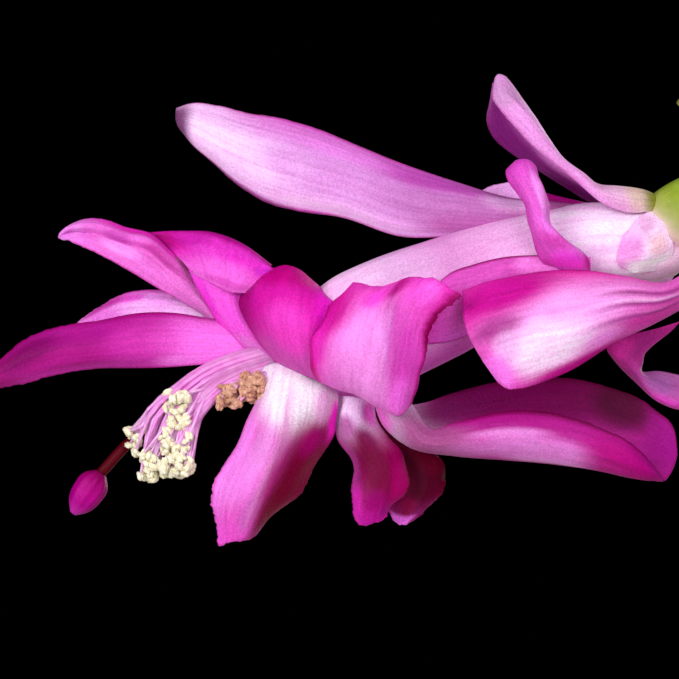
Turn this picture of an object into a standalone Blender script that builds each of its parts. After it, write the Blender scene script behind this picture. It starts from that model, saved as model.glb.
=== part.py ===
"""A Thanksgiving cactus in bloom, in a clay pot: metres, +Z up, the pot's base on z = 0."""
import math

import bmesh
import bpy
import numpy as np
from mathutils import Matrix, Vector

MM = 0.001
WELD = 0.0000012

# clay pot
POT_HEIGHT = 115.0
POT_BASE_RADIUS = 43.0
POT_BODY_RADIUS = 58.5
POT_RIM_RADIUS = 65.0
POT_RIM_DEPTH = 24.0
POT_WALL = 5.0
POT_FLOOR = 6.5
POT_SIDES = 26
DRAIN_RADIUS = 4.0
DRAIN_CIRCLE = 24.0

# potting mix
SOIL_EDGE = 99.0
SOIL_CROWN = 102.5
SOIL_GAP = 0.5
SOIL_SIDES = 24

# leafy stems
ROOT_RADIUS = 2.5
ROOT_DEPTH = 20.0
ROOT_GAP = 0.55
RIB_THICKNESS = 3.6
EDGE_THICKNESS = 1.3
SEGMENT_SIZES = [(30.0, 7.5), (38.0, 10.5), (42.0, 12.0), (41.0, 12.5), (38.0, 12.0), (36.0, 11.5)]
FORK_SIZE = (35.7, 10.2)
FORK_SPREAD = 38
FORK_TWIST = 12
# share of the length, share of the half width: two claws on each margin and a horn at the corner
SEGMENT_EDGE = [(0.0, 0.20), (0.17, 0.60), (0.42, 1.0), (0.48, 0.74), (0.77, 1.06), (0.82, 0.72),
                (1.085, 0.92), (0.985, 0.42)]
# share of the length, share of the midrib's thickness, and the midrib point that each edge point joins
SEGMENT_RIB = [(0.0, 0.5), (0.3, 1.0), (0.75, 1.0), (0.985, 0.92)]
RIB_OF_EDGE = [0, 1, 1, 1, 2, 2, 3, 3]
# name, azimuth, distance of the root from the middle, tilt of each segment from upright,
# turn of the azimuth at each joint, twist of each segment, end,
# fork: the segment that it leaves, its side, its tilts
STEMS = [
    ("stem_left", 180, 10, (4, 10, 24, 62, 118), 0, (8, 20, 35, 62, 84), "bloom", None),
    ("stem_back_right", 62, 12, (6, 14, 34, 66, 98, 112), 3, (0, 12, 18, 10, -8, 6), "bloom", None),
    ("stem_front_right", 304, 12, (5, 14, 34, 70, 102), -2, (0, -14, -20, -12, 8), "bloom", (2, -1, (58,))),
    ("stem_right", 2, 31, (14, 34, 64, 98, 118), 2, (0, 8, 14, -6, 10), "bloom", None),
    ("stem_right_back", 33, 31, (22, 50, 84, 108), 2, (0, -10, 6, 12), "bud", None),
    ("stem_back", 96, 31, (12, 34, 66, 104), 0, (0, 10, -6, 8), "bud", (2, 1, (78,))),
    ("stem_back_left", 128, 31, (24, 58, 94), 0, (0, -8, 10), "leaf", None),
    ("stem_low_left", 158, 30, (34, 72, 104, 124), 3, (0, 8, -8, 6), "leaf", None),
    ("stem_front_left", 207, 30, (34, 70, 104, 126), -2, (0, -8, 6, 10), "bud", None),
    ("stem_front", 243, 31, (18, 46, 82, 112), 2, (0, 10, -8, 6), "bud", None),
    ("stem_front_long", 274, 31, (13, 38, 72, 106), 2, (0, -8, 12, 6), "bloom", (1, 1, (50,))),
    ("stem_right_front", 334, 31, (20, 48, 82), -2, (0, 10, -12), "leaf", None),
]


# Shared helpers

def clear_scene():
    for obj in list(bpy.data.objects):
        bpy.data.objects.remove(obj, do_unlink=True)


def plain_material(name, colour, roughness):
    mat = bpy.data.materials.new(name)
    mat.use_nodes = True
    shader = mat.node_tree.nodes["Principled BSDF"]
    shader.inputs["Base Color"].default_value = (*colour, 1.0)
    shader.inputs["Roughness"].default_value = roughness
    return mat


def mesh_object(name, points, faces):
    """A closed mesh from points in millimetres, its faces turned outward."""
    mesh = bpy.data.meshes.new(name)
    mesh.from_pydata([tuple(float(c) for c in p) for p in points], [], faces)
    bm = bmesh.new()
    bm.from_mesh(mesh)
    bmesh.ops.recalc_face_normals(bm, faces=bm.faces)
    bm.to_mesh(mesh)
    bm.free()
    mesh.transform(Matrix.Scale(MM, 4))
    obj = bpy.data.objects.new(name, mesh)
    bpy.context.scene.collection.objects.link(obj)
    return obj


def apply_boolean(obj, operation, others):
    """One Boolean on a collection of the other objects, applied; the others are then removed."""
    group = bpy.data.collections.new(obj.name + "_others")
    bpy.context.scene.collection.children.link(group)
    for other in others:
        bpy.context.scene.collection.objects.unlink(other)
        group.objects.link(other)
    boolean = obj.modifiers.new("join", "BOOLEAN")
    boolean.operation = operation
    boolean.operand_type = "COLLECTION"
    boolean.collection = group
    boolean.solver = "MANIFOLD"
    bpy.context.view_layer.objects.active = obj
    bpy.ops.object.modifier_apply(modifier="join")
    for other in others:
        bpy.data.objects.remove(other, do_unlink=True)
    bpy.data.collections.remove(group)


def body_volume(faces):
    total = 0.0
    for face in faces:
        a = face.verts[0].co
        for i in range(1, len(face.verts) - 1):
            total += a.dot(face.verts[i].co.cross(face.verts[i + 1].co)) / 6
    return total


def drop_folded_pairs(bm):
    """Removes two triangles that lie back to back on the same three points."""
    groups = {}
    for face in bm.faces:
        groups.setdefault(frozenset(face.verts), []).append(face)
    pairs = [face for group in groups.values() if len(group) == 2 for face in group]
    bmesh.ops.delete(bm, geom=pairs, context="FACES")


def keep_main_body(obj):
    """Drops loose scraps and closes the hollows that fusing sealed: only the outer skin stays."""
    bm = bmesh.new()
    bm.from_mesh(obj.data)
    bmesh.ops.remove_doubles(bm, verts=bm.verts, dist=WELD)
    bmesh.ops.dissolve_degenerate(bm, edges=bm.edges, dist=WELD)
    bmesh.ops.triangulate(bm, faces=bm.faces)
    drop_folded_pairs(bm)
    left = set(bm.faces)
    bodies = []
    while left:
        start = left.pop()
        body = {start}
        queue = [start]
        while queue:
            for edge in queue.pop().edges:
                for near in edge.link_faces:
                    if near in left:
                        left.remove(near)
                        body.add(near)
                        queue.append(near)
        bodies.append(body)
    main = max(bodies, key=body_volume)
    scrap = [face for body in bodies if body is not main for face in body]
    bmesh.ops.delete(bm, geom=scrap, context="FACES")
    loose = [vert for vert in bm.verts if not vert.link_faces]
    bmesh.ops.delete(bm, geom=loose, context="VERTS")
    bm.to_mesh(obj.data)
    bm.free()


def finish_node(obj, name, mat):
    obj.name = name
    obj.data.name = name
    obj.data.materials.clear()
    obj.data.materials.append(mat)
    obj.data.shade_smooth()


def fuse(name, pieces, mat):
    """Joins the pieces of one grown body into one closed solid."""
    main = pieces[0]
    apply_boolean(main, "UNION", pieces[1:])
    keep_main_body(main)
    finish_node(main, name, mat)


def lathe(name, profile, sides):
    """Turns a closed profile of (radius, height) points about Z; radius 0 gives a single point."""
    points = []
    rings = []
    for radius, height in profile:
        if radius == 0:
            rings.append([len(points)])
            points.append((0.0, 0.0, height))
            continue
        first = len(points)
        for i in range(sides):
            angle = 2 * math.pi * i / sides
            points.append((radius * math.cos(angle), radius * math.sin(angle), height))
        rings.append(list(range(first, first + sides)))
    faces = []
    for low, high in zip(rings, rings[1:]):
        for i in range(sides):
            j = (i + 1) % sides
            if len(low) == 1:
                faces.append((low[0], high[j], high[i]))
            elif len(high) == 1:
                faces.append((low[i], low[j], high[0]))
            else:
                faces.append((low[i], low[j], high[j], high[i]))
    return mesh_object(name, points, faces)


# Curves and blades

def unit(vectors):
    length = np.linalg.norm(vectors, axis=-1, keepdims=True)
    return vectors / np.maximum(length, 1e-9)


def spline(stations, t):
    """A smooth curve through the rows of stations, read at t from 0 to 1."""
    rows = np.asarray(stations, float)
    steps = np.linalg.norm(np.diff(rows[:, :3], axis=0), axis=1)
    knots = np.concatenate([[0], np.cumsum(steps)]) / steps.sum()
    slopes = np.diff(rows, axis=0) / np.diff(knots)[:, None]
    before = np.diff(knots)[:-1, None]
    after = np.diff(knots)[1:, None]
    middle = (slopes[:-1] * after + slopes[1:] * before) / (before + after)
    slope = np.concatenate([slopes[:1], middle, slopes[-1:]])
    t = np.clip(np.asarray(t, float), 0, 1)
    i = np.clip(np.searchsorted(knots, t, side="right") - 1, 0, len(rows) - 2)
    h = (knots[i + 1] - knots[i])[:, None]
    s = (t - knots[i])[:, None] / h
    start = (2 * s**3 - 3 * s**2 + 1) * rows[i] + (s**3 - 2 * s**2 + s) * h * slope[i]
    end = (3 * s**2 - 2 * s**3) * rows[i + 1] + (s**3 - s**2) * h * slope[i + 1]
    return start + end


def tube_mesh(name, stations, rows, sides):
    """A round body along stations of x, y, z, radius, closed at both ends."""
    t = np.linspace(0, 1, rows + 1)
    read = spline(stations, t)
    centre = read[:, :3]
    ahead = spline(stations, np.minimum(t + 0.001, 1))[:, :3]
    behind = spline(stations, np.maximum(t - 0.001, 0))[:, :3]
    along = unit(ahead - behind)
    first = unit(np.cross(along, [0.0, 1.0, 0.0]))
    second = np.cross(along, first)
    points = []
    for i in range(rows + 1):
        for j in range(sides):
            angle = 2 * math.pi * (j + 0.5) / sides
            out = math.cos(angle) * first[i] + math.sin(angle) * second[i]
            points.append(centre[i] + read[i, 3] * out)
    faces = [tuple(range(sides)), tuple(range(rows * sides, (rows + 1) * sides))]
    for i in range(rows):
        for j in range(sides):
            k = (j + 1) % sides
            faces.append((i * sides + j, i * sides + k, (i + 1) * sides + k, (i + 1) * sides + j))
    return mesh_object(name, points, faces)


def blade_grid(tepal, rows, cols):
    """Points of a tepal's middle surface, from its midrib stations and its cross-section."""
    _, kind, vector, tip, crease, ruffle, stations = tepal
    t = np.linspace(0, 1, rows + 1)
    read = spline(stations, t)
    ahead = spline(stations, np.minimum(t + 0.001, 1))[:, :3]
    behind = spline(stations, np.maximum(t - 0.001, 0))[:, :3]
    along = unit(ahead - behind)
    given = np.tile(np.array(vector, float), (rows + 1, 1))
    given = unit(given - (given * along).sum(1, keepdims=True) * along)
    if kind == "side":
        side = given
        face = np.cross(side, along)
    else:
        face = given
        side = np.cross(along, face)
    width = read[:, 3]
    past = np.clip((t - tip) / (1 - tip), 0, 1)
    width = np.maximum(width * np.sqrt(1 - past**2), 0.35)
    fold = np.radians(read[:, 4])
    fold = np.where(np.abs(fold) < 0.01, 0.01, fold)[:, None]
    v = np.linspace(-1, 1, cols + 1)[None, :]
    a = np.abs(v)
    bend = 2 * fold * (1 - crease)
    across = (np.sin(fold * crease + bend * a) - np.sin(fold * crease)) / bend
    rise = (np.cos(fold * crease) - np.cos(fold * crease + bend * a)) / bend
    depth, waves = ruffle
    phase = 2 * math.pi * min(waves, rows / 4) * t[:, None] + np.where(v < 0, 1.3, 0)
    ripple = depth * a**2.5 * np.sin(phase) * np.clip(2.2 * t[:, None] - 0.5, 0, 1)
    sideways = (np.sign(v) * across * width[:, None])[..., None] * side[:, None, :]
    lifted = (rise * width[:, None] + ripple)[..., None] * face[:, None, :]
    return read[:, None, :3] + sideways + lifted


def blade_mesh(name, tepal, rows, cols, thickness, place):
    """A closed blade: both faces are split into the same triangles."""
    grid = blade_grid(tepal, rows, cols)
    normal = unit(np.cross(np.gradient(grid, axis=0), np.gradient(grid, axis=1)))
    normal[-1] = normal[-2]
    points = np.concatenate([grid + normal * thickness / 2, grid - normal * thickness / 2]).reshape(-1, 3)
    count = (rows + 1) * (cols + 1)
    faces = []
    for i in range(rows):
        for j in range(cols):
            a = i * (cols + 1) + j
            b, c, d = a + 1, a + cols + 2, a + cols + 1
            faces += [(a, b, c), (a, c, d)]
            faces += [(a + count, c + count, b + count), (a + count, d + count, c + count)]
    rim = list(range(cols))
    rim += [i * (cols + 1) + cols for i in range(rows)]
    rim += [rows * (cols + 1) + j for j in range(cols, 0, -1)]
    rim += [i * (cols + 1) for i in range(rows, 0, -1)]
    for a, b in zip(rim, rim[1:] + rim[:1]):
        faces.append((a, a + count, b + count, b))
    return mesh_object(name, [place @ Vector(p) for p in points], faces)


# Pot and soil

def make_pot(mat):
    rim_low = POT_HEIGHT - POT_RIM_DEPTH
    inner_top = POT_RIM_RADIUS - POT_WALL
    inner_base = POT_BASE_RADIUS - POT_WALL
    profile = [
        (0, 0), (POT_BASE_RADIUS - 1.5, 0), (POT_BASE_RADIUS, 1.5),
        (POT_BODY_RADIUS, rim_low), (POT_RIM_RADIUS - 1.2, rim_low), (POT_RIM_RADIUS, rim_low + 1.2),
        (POT_RIM_RADIUS, POT_HEIGHT - 1.8), (POT_RIM_RADIUS - 1.8, POT_HEIGHT),
        (inner_top + 1.2, POT_HEIGHT), (inner_top, POT_HEIGHT - 1.4),
        (inner_base, POT_FLOOR), (0, POT_FLOOR)]
    pot = lathe("pot", profile, POT_SIDES)
    drains = []
    for i in range(4):
        angle = math.pi / 4 + i * math.pi / 2
        low, high = -2, POT_FLOOR + 3
        drain = lathe("drain", [(0, low), (DRAIN_RADIUS, low), (DRAIN_RADIUS, high), (0, high)], 8)
        drain.data.transform(Matrix.Translation(
            (DRAIN_CIRCLE * MM * math.cos(angle), DRAIN_CIRCLE * MM * math.sin(angle), 0)))
        drains.append(drain)
    apply_boolean(pot, "DIFFERENCE", drains)
    keep_main_body(pot)
    finish_node(pot, "pot", mat)


def soil_height(radius):
    edge = POT_RIM_RADIUS - POT_WALL - 1.0
    return SOIL_EDGE + (SOIL_CROWN - SOIL_EDGE) * max(0.0, 1 - (radius / edge) ** 2)


def inner_radius(height):
    low = POT_BASE_RADIUS - POT_WALL
    high = POT_RIM_RADIUS - POT_WALL
    return low + (high - low) * (height - POT_FLOOR) / (POT_HEIGHT - 1.4 - POT_FLOOR)


def make_soil(mat):
    low = POT_FLOOR + SOIL_GAP
    edge = inner_radius(SOIL_EDGE) - SOIL_GAP * 1.6
    profile = [(0, low), (inner_radius(low) - SOIL_GAP * 1.6, low), (edge, SOIL_EDGE)]
    profile += [(r, soil_height(r)) for r in (46.0, 34.0, 20.0)]
    profile += [(0, SOIL_CROWN)]
    soil = lathe("soil", profile, SOIL_SIDES)
    holes = []
    for row in STEMS:
        foot = stem_foot(row)
        radius = ROOT_RADIUS + ROOT_GAP
        hole = lathe("hole", [(0, 0), (radius, 0), (radius, ROOT_DEPTH + 12), (0, ROOT_DEPTH + 12)], 6)
        hole.data.transform(Matrix.Translation((foot - Vector((0, 0, ROOT_DEPTH + ROOT_GAP))) * MM))
        holes.append(hole)
    apply_boolean(soil, "DIFFERENCE", holes)
    keep_main_body(soil)
    finish_node(soil, "soil", mat)


# Leafy stems

def stem_foot(row):
    _, azimuth, distance = row[:3]
    angle = math.radians(azimuth)
    return Vector((distance * math.cos(angle), distance * math.sin(angle), soil_height(distance)))


def segment_frame(joint, azimuth, tilt, twist, size):
    """A segment's joint, its direction, its width direction, its length and half width."""
    angle = math.radians(azimuth)
    lean = math.radians(tilt)
    along = Vector((math.sin(lean) * math.cos(angle), math.sin(lean) * math.sin(angle), math.cos(lean)))
    side = Vector((-math.sin(angle), math.cos(angle), 0))
    side.rotate(Matrix.Rotation(math.radians(twist), 3, along))
    return (joint.copy(), along, side, size[0], size[1])


def stem_frames(row):
    """The frames of a stem's segments, and the end of the last one."""
    _, azimuth, _, tilts, turn, twists = row[:6]
    joint = stem_foot(row) + Vector((0, 0, 3.0))
    frames = []
    for i, (tilt, twist) in enumerate(zip(tilts, twists)):
        frame = segment_frame(joint, azimuth + i * turn, tilt, twist, SEGMENT_SIZES[i])
        frames.append(frame)
        joint = joint + frame[1] * frame[3]
    return frames, joint


def fork_frames(row, frames):
    """The frames of the segments that leave a stem beside its own next segment."""
    if row[7] is None:
        return []
    index, hand, tilts = row[7]
    start, along, side, length, width = frames[index]
    joint = start + along * (length - 0.5) + side * (hand * width * 0.42)
    azimuth = row[1] + index * row[4] + hand * FORK_SPREAD
    forked = []
    for tilt in tilts:
        frame = segment_frame(joint, azimuth, tilt, hand * FORK_TWIST, FORK_SIZE)
        forked.append(frame)
        joint = joint + frame[1] * frame[3]
    return forked


def segment_mesh(name, joint, along, side, length, width):
    """One flat leafy segment: a raised midrib, claws along both margins and a horn at each corner."""
    face = side.cross(along)
    ribs = len(SEGMENT_RIB)
    rows = len(SEGMENT_EDGE)
    base = joint - along * 1.3
    reach = length + 1.3
    points = []
    for half in (RIB_THICKNESS / 2, -RIB_THICKNESS / 2):
        for s, thick in SEGMENT_RIB:
            points.append(base + along * s * reach + face * half * thick)
    for sign in (1, -1):
        for half in (EDGE_THICKNESS / 2, -EDGE_THICKNESS / 2):
            for s, w in SEGMENT_EDGE:
                points.append(base + along * s * reach + side * sign * w * width + face * half)
    top, low = 0, ribs
    left, left_low, right, right_low = [2 * ribs + rows * k for k in range(4)]
    faces = []
    for i in range(rows - 1):
        a, b = RIB_OF_EDGE[i], RIB_OF_EDGE[i + 1]
        for rib, edge in ((top, left), (low, left_low), (top, right), (low, right_low)):
            if a != b:
                faces.append((rib + a, rib + b, edge + i + 1))
            faces.append((rib + a, edge + i + 1, edge + i))
        for edge, edge_low in ((left, left_low), (right, right_low)):
            faces.append((edge + i, edge + i + 1, edge_low + i + 1, edge_low + i))
    for i, r in ((0, 0), (rows - 1, ribs - 1)):
        faces.append((left + i, top + r, right + i, right_low + i, low + r, left_low + i))
    return mesh_object(name, points, faces)


def root_mesh(foot):
    profile = [(0, 0), (ROOT_RADIUS, 0), (ROOT_RADIUS * 0.9, ROOT_DEPTH + 5.5), (0, ROOT_DEPTH + 6.5)]
    root = lathe("root", profile, 6)
    root.data.transform(Matrix.Translation((foot - Vector((0, 0, ROOT_DEPTH))) * MM))
    return root


# Blooms

# A bloom's own frame: the tube's base near the origin, the bloom pointing along -X.
# Where the ovary grows from its segment, and the ovary and tube as x, y, z, radius.
OVARY_FOOT = Vector((9.8, 0.0, 6.8))
OVARY = [(12.6, 0, 8.3, 1.3), (9.8, 0, 6.8, 2.0), (7.3, 0, 4.6, 3.3), (4.5, 0, 2.0, 4.3), (2.5, 0, 0.1, 4.2)]
TUBE = [(2.2, 0, -0.2, 4.2), (1.1, 0, -1.2, 4.5), (-2.5, 0, -1.9, 4.9), (-7.0, 0, -1.9, 4.9),
        (-14.0, 0, -3.3, 5.1), (-20.0, 0, -5.6, 6.0), (-25.5, 0, -8.1, 6.7), (-31.0, 0, -10.4, 7.2),
        (-37.0, -0.4, -13.4, 7.3), (-42.5, -0.8, -15.8, 6.4)]
THROAT = [(-34.0, -0.2, -11.9, 3.3), (-44.0, -0.8, -16.5, 3.4), (-49.0, -1.0, -18.8, 4.4)]

# name, reference (the way the inner face or the left margin points), share of the length where the
# tip starts to round off, crease, ruffle (depth, waves), stations (x, y, z, half width, fold degrees)
FRONT_TEPALS = [
    ("lower_left", "side", (-0.82, 0.13, 0.44), 0.97, 0.25, (0.5, 2.5), [
        (-41.5, -3.0, -15.5, 2.8, 20), (-42.6, -6.0, -18.4, 4.0, -5), (-43.1, -8.0, -22.0, 4.8, -20),
        (-45.6, -8.0, -27.5, 5.6, -28), (-48.2, -7.0, -32.2, 5.2, -25), (-50.0, -6.0, -35.6, 3.2, -20),
        (-51.8, -5.0, -38.2, 0.5, 0)]),
    ("long_left", "face", (0, -0.6, 0.8), 0.93, 0.25, (0.35, 4), [
        (-42.0, -2.0, -13.0, 2.2, 25), (-48.0, -2.5, -14.2, 2.6, 12), (-54.5, -2.5, -13.9, 4.0, 5),
        (-62.0, -2.5, -13.7, 4.9, 5), (-69.5, -3.0, -14.7, 4.0, 5), (-75.5, -3.5, -16.4, 3.0, 5),
        (-80.6, -4.0, -18.9, 0.6, 0)]),
    ("upper_left", "face", (0.1, -1, 0.2), 0.95, 0.25, (0.35, 5), [
        (-43.5, 0.5, -12.0, 2.0, 20), (-50.0, 1.5, -11.9, 2.1, 10), (-55.5, 2.0, -7.6, 2.9, -5),
        (-60.3, 2.5, -3.8, 3.7, -12), (-65.0, 3.0, -1.7, 2.7, -15), (-69.2, 3.5, -0.4, 1.6, 10),
        (-71.6, 4.0, -0.9, 0.4, 0)]),
    ("top", "face", (0, -1, 0.1), 0.88, 0.25, (0.3, 2), [
        (-43.5, -1.0, -12.5, 2.2, 20), (-48.5, -2.2, -13.4, 1.8, 10), (-51.6, -1.8, -11.2, 1.9, -8),
        (-52.0, -0.8, -7.9, 3.3, -15), (-51.6, 0.0, -5.0, 5.4, -20), (-53.2, 1.5, -2.7, 5.4, -20),
        (-55.6, 3.5, -0.8, 3.4, -10)]),
    ("centre_left", "side", (1, 0, 0), 0.86, 0.25, (0.2, 2), [
        (-41.5, -4.5, -15.5, 2.2, 15), (-43.6, -7.2, -16.3, 3.0, -5), (-44.3, -9.3, -13.6, 5.0, -20),
        (-43.9, -9.8, -10.0, 6.1, -26), (-43.4, -9.0, -7.0, 5.2, -26), (-43.5, -7.8, -4.5, 2.9, -15)]),
    ("centre_fan", "side", (1, 0, 0), 0.975, 0.25, (0.7, 2.4), [
        (-39.0, -5.0, -17.0, 2.0, 10), (-36.6, -8.8, -19.6, 3.2, -8), (-34.6, -11.8, -19.8, 5.2, -16),
        (-34.4, -13.6, -16.4, 6.8, -22), (-34.0, -13.8, -12.8, 6.7, -22), (-32.0, -13.0, -9.6, 6.9, -18),
        (-30.9, -12.2, -7.0, 6.7, -10)]),
    ("reflexed", "face", (0, -1, 0.45), 0.93, 0.6, (0.25, 2), [
        (-39.0, -1.5, -18.5, 2.4, 20), (-34.5, -4.0, -22.3, 2.0, 5), (-29.0, -4.6, -24.0, 2.1, 5),
        (-22.5, -4.0, -23.5, 4.5, 14), (-15.0, -3.0, -23.2, 5.4, 20), (-8.0, -2.0, -23.8, 6.0, 22),
        (-2.4, -1.5, -25.3, 5.2, 18), (2.6, -1.0, -28.0, 1.6, 10)]),
    ("back_upper", "side", (0, 0, 1), 0.9, 0.25, (0.3, 2), [
        (-41.0, 4.5, -14.5, 2.4, 15), (-42.0, 8.0, -14.8, 3.4, -5), (-41.5, 11.5, -13.6, 4.4, -20),
        (-38.5, 14.0, -12.6, 4.6, -26), (-34.5, 15.6, -12.2, 3.8, -20), (-30.5, 16.4, -12.2, 0.8, 0)]),
    ("back_lower", "side", (0.85, 0, -0.4), 0.9, 0.25, (0.35, 2), [
        (-39.0, 4.0, -17.0, 2.6, 15), (-41.5, 7.5, -19.0, 3.2, -10), (-44.0, 9.5, -23.0, 4.2, -20),
        (-46.2, 10.0, -27.5, 4.4, -24), (-48.0, 9.5, -31.5, 3.2, -20), (-49.4, 9.0, -34.6, 0.6, 0)]),
]
SMALL_FRONT_TEPALS = [
    ("pale_left", "face", (0, -0.7, 0.7), 0.93, 0.25, (0.3, 3), [
        (-43.5, 2.0, -12.5, 2.2, 25), (-49.5, 3.5, -12.2, 2.6, 10), (-56.0, 5.0, -10.6, 3.4, 5),
        (-62.0, 6.0, -10.7, 3.6, 5), (-67.0, 7.0, -11.6, 2.6, 5), (-70.3, 7.5, -12.4, 0.5, 0)]),
    ("hanging", "face", (0, -1, 0.1), 0.9, 0.25, (0.5, 2.5), [
        (-37.5, -2.5, -17.5, 2.2, 10), (-36.4, -3.5, -21.0, 1.9, -15), (-35.6, -3.5, -25.0, 3.0, 10),
        (-33.6, -2.5, -28.6, 3.6, 22), (-33.2, -1.5, -31.7, 3.6, 22), (-34.2, -0.5, -35.3, 1.6, 5)]),
    ("behind", "face", (0, -1, 0.2), 0.9, 0.25, (0.4, 2.5), [
        (-36.5, 2.0, -17.5, 2.2, 10), (-33.8, 2.5, -21.5, 1.9, -5), (-31.0, 3.5, -25.0, 2.5, 10),
        (-28.9, 4.0, -28.6, 3.9, 18), (-28.8, 4.5, -31.8, 3.6, 18), (-30.3, 5.0, -35.6, 1.4, 5)]),
]
REAR_TEPALS = [
    ("long_top", "face", (0.1, 1, 0.3), 0.9, 0.25, (0.2, 2), [
        (-4.0, 0.5, 1.6, 1.6, 20), (-12.0, 0.5, 2.0, 2.0, 22), (-20.0, 0.5, 2.0, 2.8, 22),
        (-28.0, 0.0, 2.6, 4.4, 20), (-36.0, 0.0, 5.4, 4.8, 18), (-44.0, 0.5, 7.7, 5.1, 16),
        (-51.0, 1.5, 10.5, 4.3, 14), (-57.6, 2.5, 14.0, 0.8, 0)]),
    ("small_top", "face", (-0.5, 1, 0.0), 0.9, 0.7, (0.25, 2), [
        (-1.0, -1.2, 0.4, 1.2, 25), (-4.0, -2.5, 2.2, 1.6, 35), (-9.2, -3.0, 5.0, 2.0, 42),
        (-12.6, -3.0, 7.4, 2.6, 42), (-15.7, -3.0, 10.6, 3.2, 42), (-17.9, -3.0, 14.2, 2.9, 38),
        (-18.8, -3.0, 18.2, 0.8, 10)]),
    ("front_low", "face", (0, -1, 0.1), 0.975, 0.25, (0.25, 1.5), [
        (3.0, -3.0, -4.6, 2.0, 20), (0.5, -5.6, -7.9, 2.6, 10), (-5.0, -8.5, -9.8, 4.4, -8),
        (-10.5, -10.8, -11.0, 6.2, -18), (-16.0, -12.0, -12.3, 7.5, -20), (-20.0, -11.8, -13.5, 7.4, -18),
        (-22.3, -11.0, -14.6, 6.6, -14)]),
    ("back_low", "side", (0.2, 0, -0.97), 0.9, 0.25, (0.3, 2), [
        (2.0, 3.0, -2.5, 2.2, 20), (-2.0, 7.0, -6.0, 3.6, 5), (-7.0, 10.0, -7.6, 4.8, -12),
        (-12.5, 12.0, -8.6, 5.4, -20), (-17.0, 13.0, -9.0, 4.6, -20), (-21.0, 13.0, -9.0, 1.0, 0)]),
]
SMALL_REAR_TEPALS = [
    ("curled", "face", (0.2, -1, 0.3), 0.88, 0.25, (0.25, 3), [
        (-4.0, -4.0, -5.6, 1.6, 10), (-8.6, -7.2, -6.4, 2.0, 20), (-11.6, -9.0, -4.2, 2.8, 30),
        (-13.6, -9.2, -0.8, 2.4, 40), (-14.9, -8.8, 3.0, 2.2, 45), (-15.9, -7.8, 6.0, 2.4, 35),
        (-16.4, -6.6, 7.9, 1.2, 20)]),
    ("low_back", "face", (-0.2, -1, 0.4), 0.9, 0.25, (0.25, 2), [
        (1.0, 1.0, -4.0, 2.0, 10), (-3.6, 0.5, -11.0, 2.2, 0), (-4.0, 0.0, -15.0, 1.7, 5),
        (-2.0, 0.0, -18.4, 2.0, 30), (1.6, 0.5, -19.9, 2.2, 38), (6.0, 1.0, -20.6, 2.6, 30),
        (11.0, 1.5, -21.0, 0.8, 0)]),
    ("back_top", "face", (0.1, 1, 0.5), 0.9, 0.25, (0.2, 2), [
        (0.0, 3.0, 0.6, 1.8, 20), (-7.0, 4.5, 1.8, 2.4, 15), (-13.0, 6.0, 2.6, 2.8, 10),
        (-18.0, 8.0, 3.4, 2.2, 5), (-21.5, 9.5, 4.2, 0.6, 0)]),
    ("scale", "face", (-0.5, -0.6, 1), 0.8, 0.25, (0.1, 2), [
        (1.6, -3.2, -1.4, 2.2, -20), (-0.6, -5.2, -1.6, 2.9, -30), (-2.8, -6.2, -2.4, 2.6, -34),
        (-4.2, -6.8, -3.4, 1.0, -20)]),
]

LONG_TEPALS = ("long_left", "long_top", "reflexed", "centre_fan")
LARGE_BLOOM_ONLY = ("upper_left", "back_low")

STAMEN_STALK = [(-36.0, -1.1, -12.9, 1.6), (-42.0, -1.7, -15.6, 1.6), (-46.0, -2.2, -17.3, 1.7),
                (-49.5, -2.6, -18.9, 1.5)]
# end of each filament, and the way that it bows
FILAMENT_ENDS = [(-57.0, -3.6, -22.2, 1.0), (-58.8, -2.4, -25.0, 1.2), (-57.2, -4.6, -27.4, 0.8),
                 (-60.4, -3.6, -28.6, 1.0), (-55.9, -2.4, -25.6, 0.4), (-62.6, -1.6, -25.0, 1.8),
                 (-50.6, -3.4, -20.6, 0.2), (-47.6, -2.0, -20.4, 0.0)]
STYLE = [(-36.0, 1.5, -13.2, 0.65), (-43.0, 1.3, -16.4, 0.65), (-50.0, 1.6, -19.4, 0.65),
         (-57.0, 1.4, -22.4, 0.65), (-62.5, 0.8, -25.3, 0.65), (-67.0, 0.2, -30.0, 0.65)]
STIGMA = [(-66.5, 0.2, -29.5, 0.7), (-67.0, 0.1, -30.2, 1.5), (-68.1, 0.0, -31.8, 1.8),
          (-69.3, -0.1, -33.5, 1.2), (-69.9, -0.1, -34.3, 0.35)]
TEPAL_THICKNESS = 0.7
BUD_SCALE_THICKNESS = 0.8
# how far each bloom is rolled about its length, its size, and whether it is a mirror image
BLOOM_LOOKS = {
    "stem_left": (0, 1.0, False),
    "stem_back_right": (25, 0.9, True),
    "stem_front_right": (-20, 0.92, False),
    "stem_right": (12, 0.86, True),
    "stem_front_long": (16, 0.8, True)}


def bloom_place(row):
    """Takes a bloom's own frame to the end of its stem."""
    name, azimuth, _, tilts, turn = row[:5]
    tip = stem_frames(row)[1]
    roll, size, mirrored = BLOOM_LOOKS[name]
    heading = math.radians(azimuth + turn * (len(tilts) - 1) - 180)
    turned = Matrix.Rotation(heading, 4, "Z") @ Matrix.Rotation(math.radians(roll), 4, "X")
    place = Matrix.Translation(tip) @ turned @ Matrix.Diagonal((size, -size if mirrored else size, size, 1.0))
    return place @ Matrix.Translation(-OVARY_FOOT)


def placed_tube(name, stations, rows, sides, place):
    tube = tube_mesh(name, stations, rows, sides)
    lift = place.copy()
    lift.translation = place.translation * MM
    tube.data.transform(lift)
    if lift.determinant() < 0:
        tube.data.flip_normals()
    return tube


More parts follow.
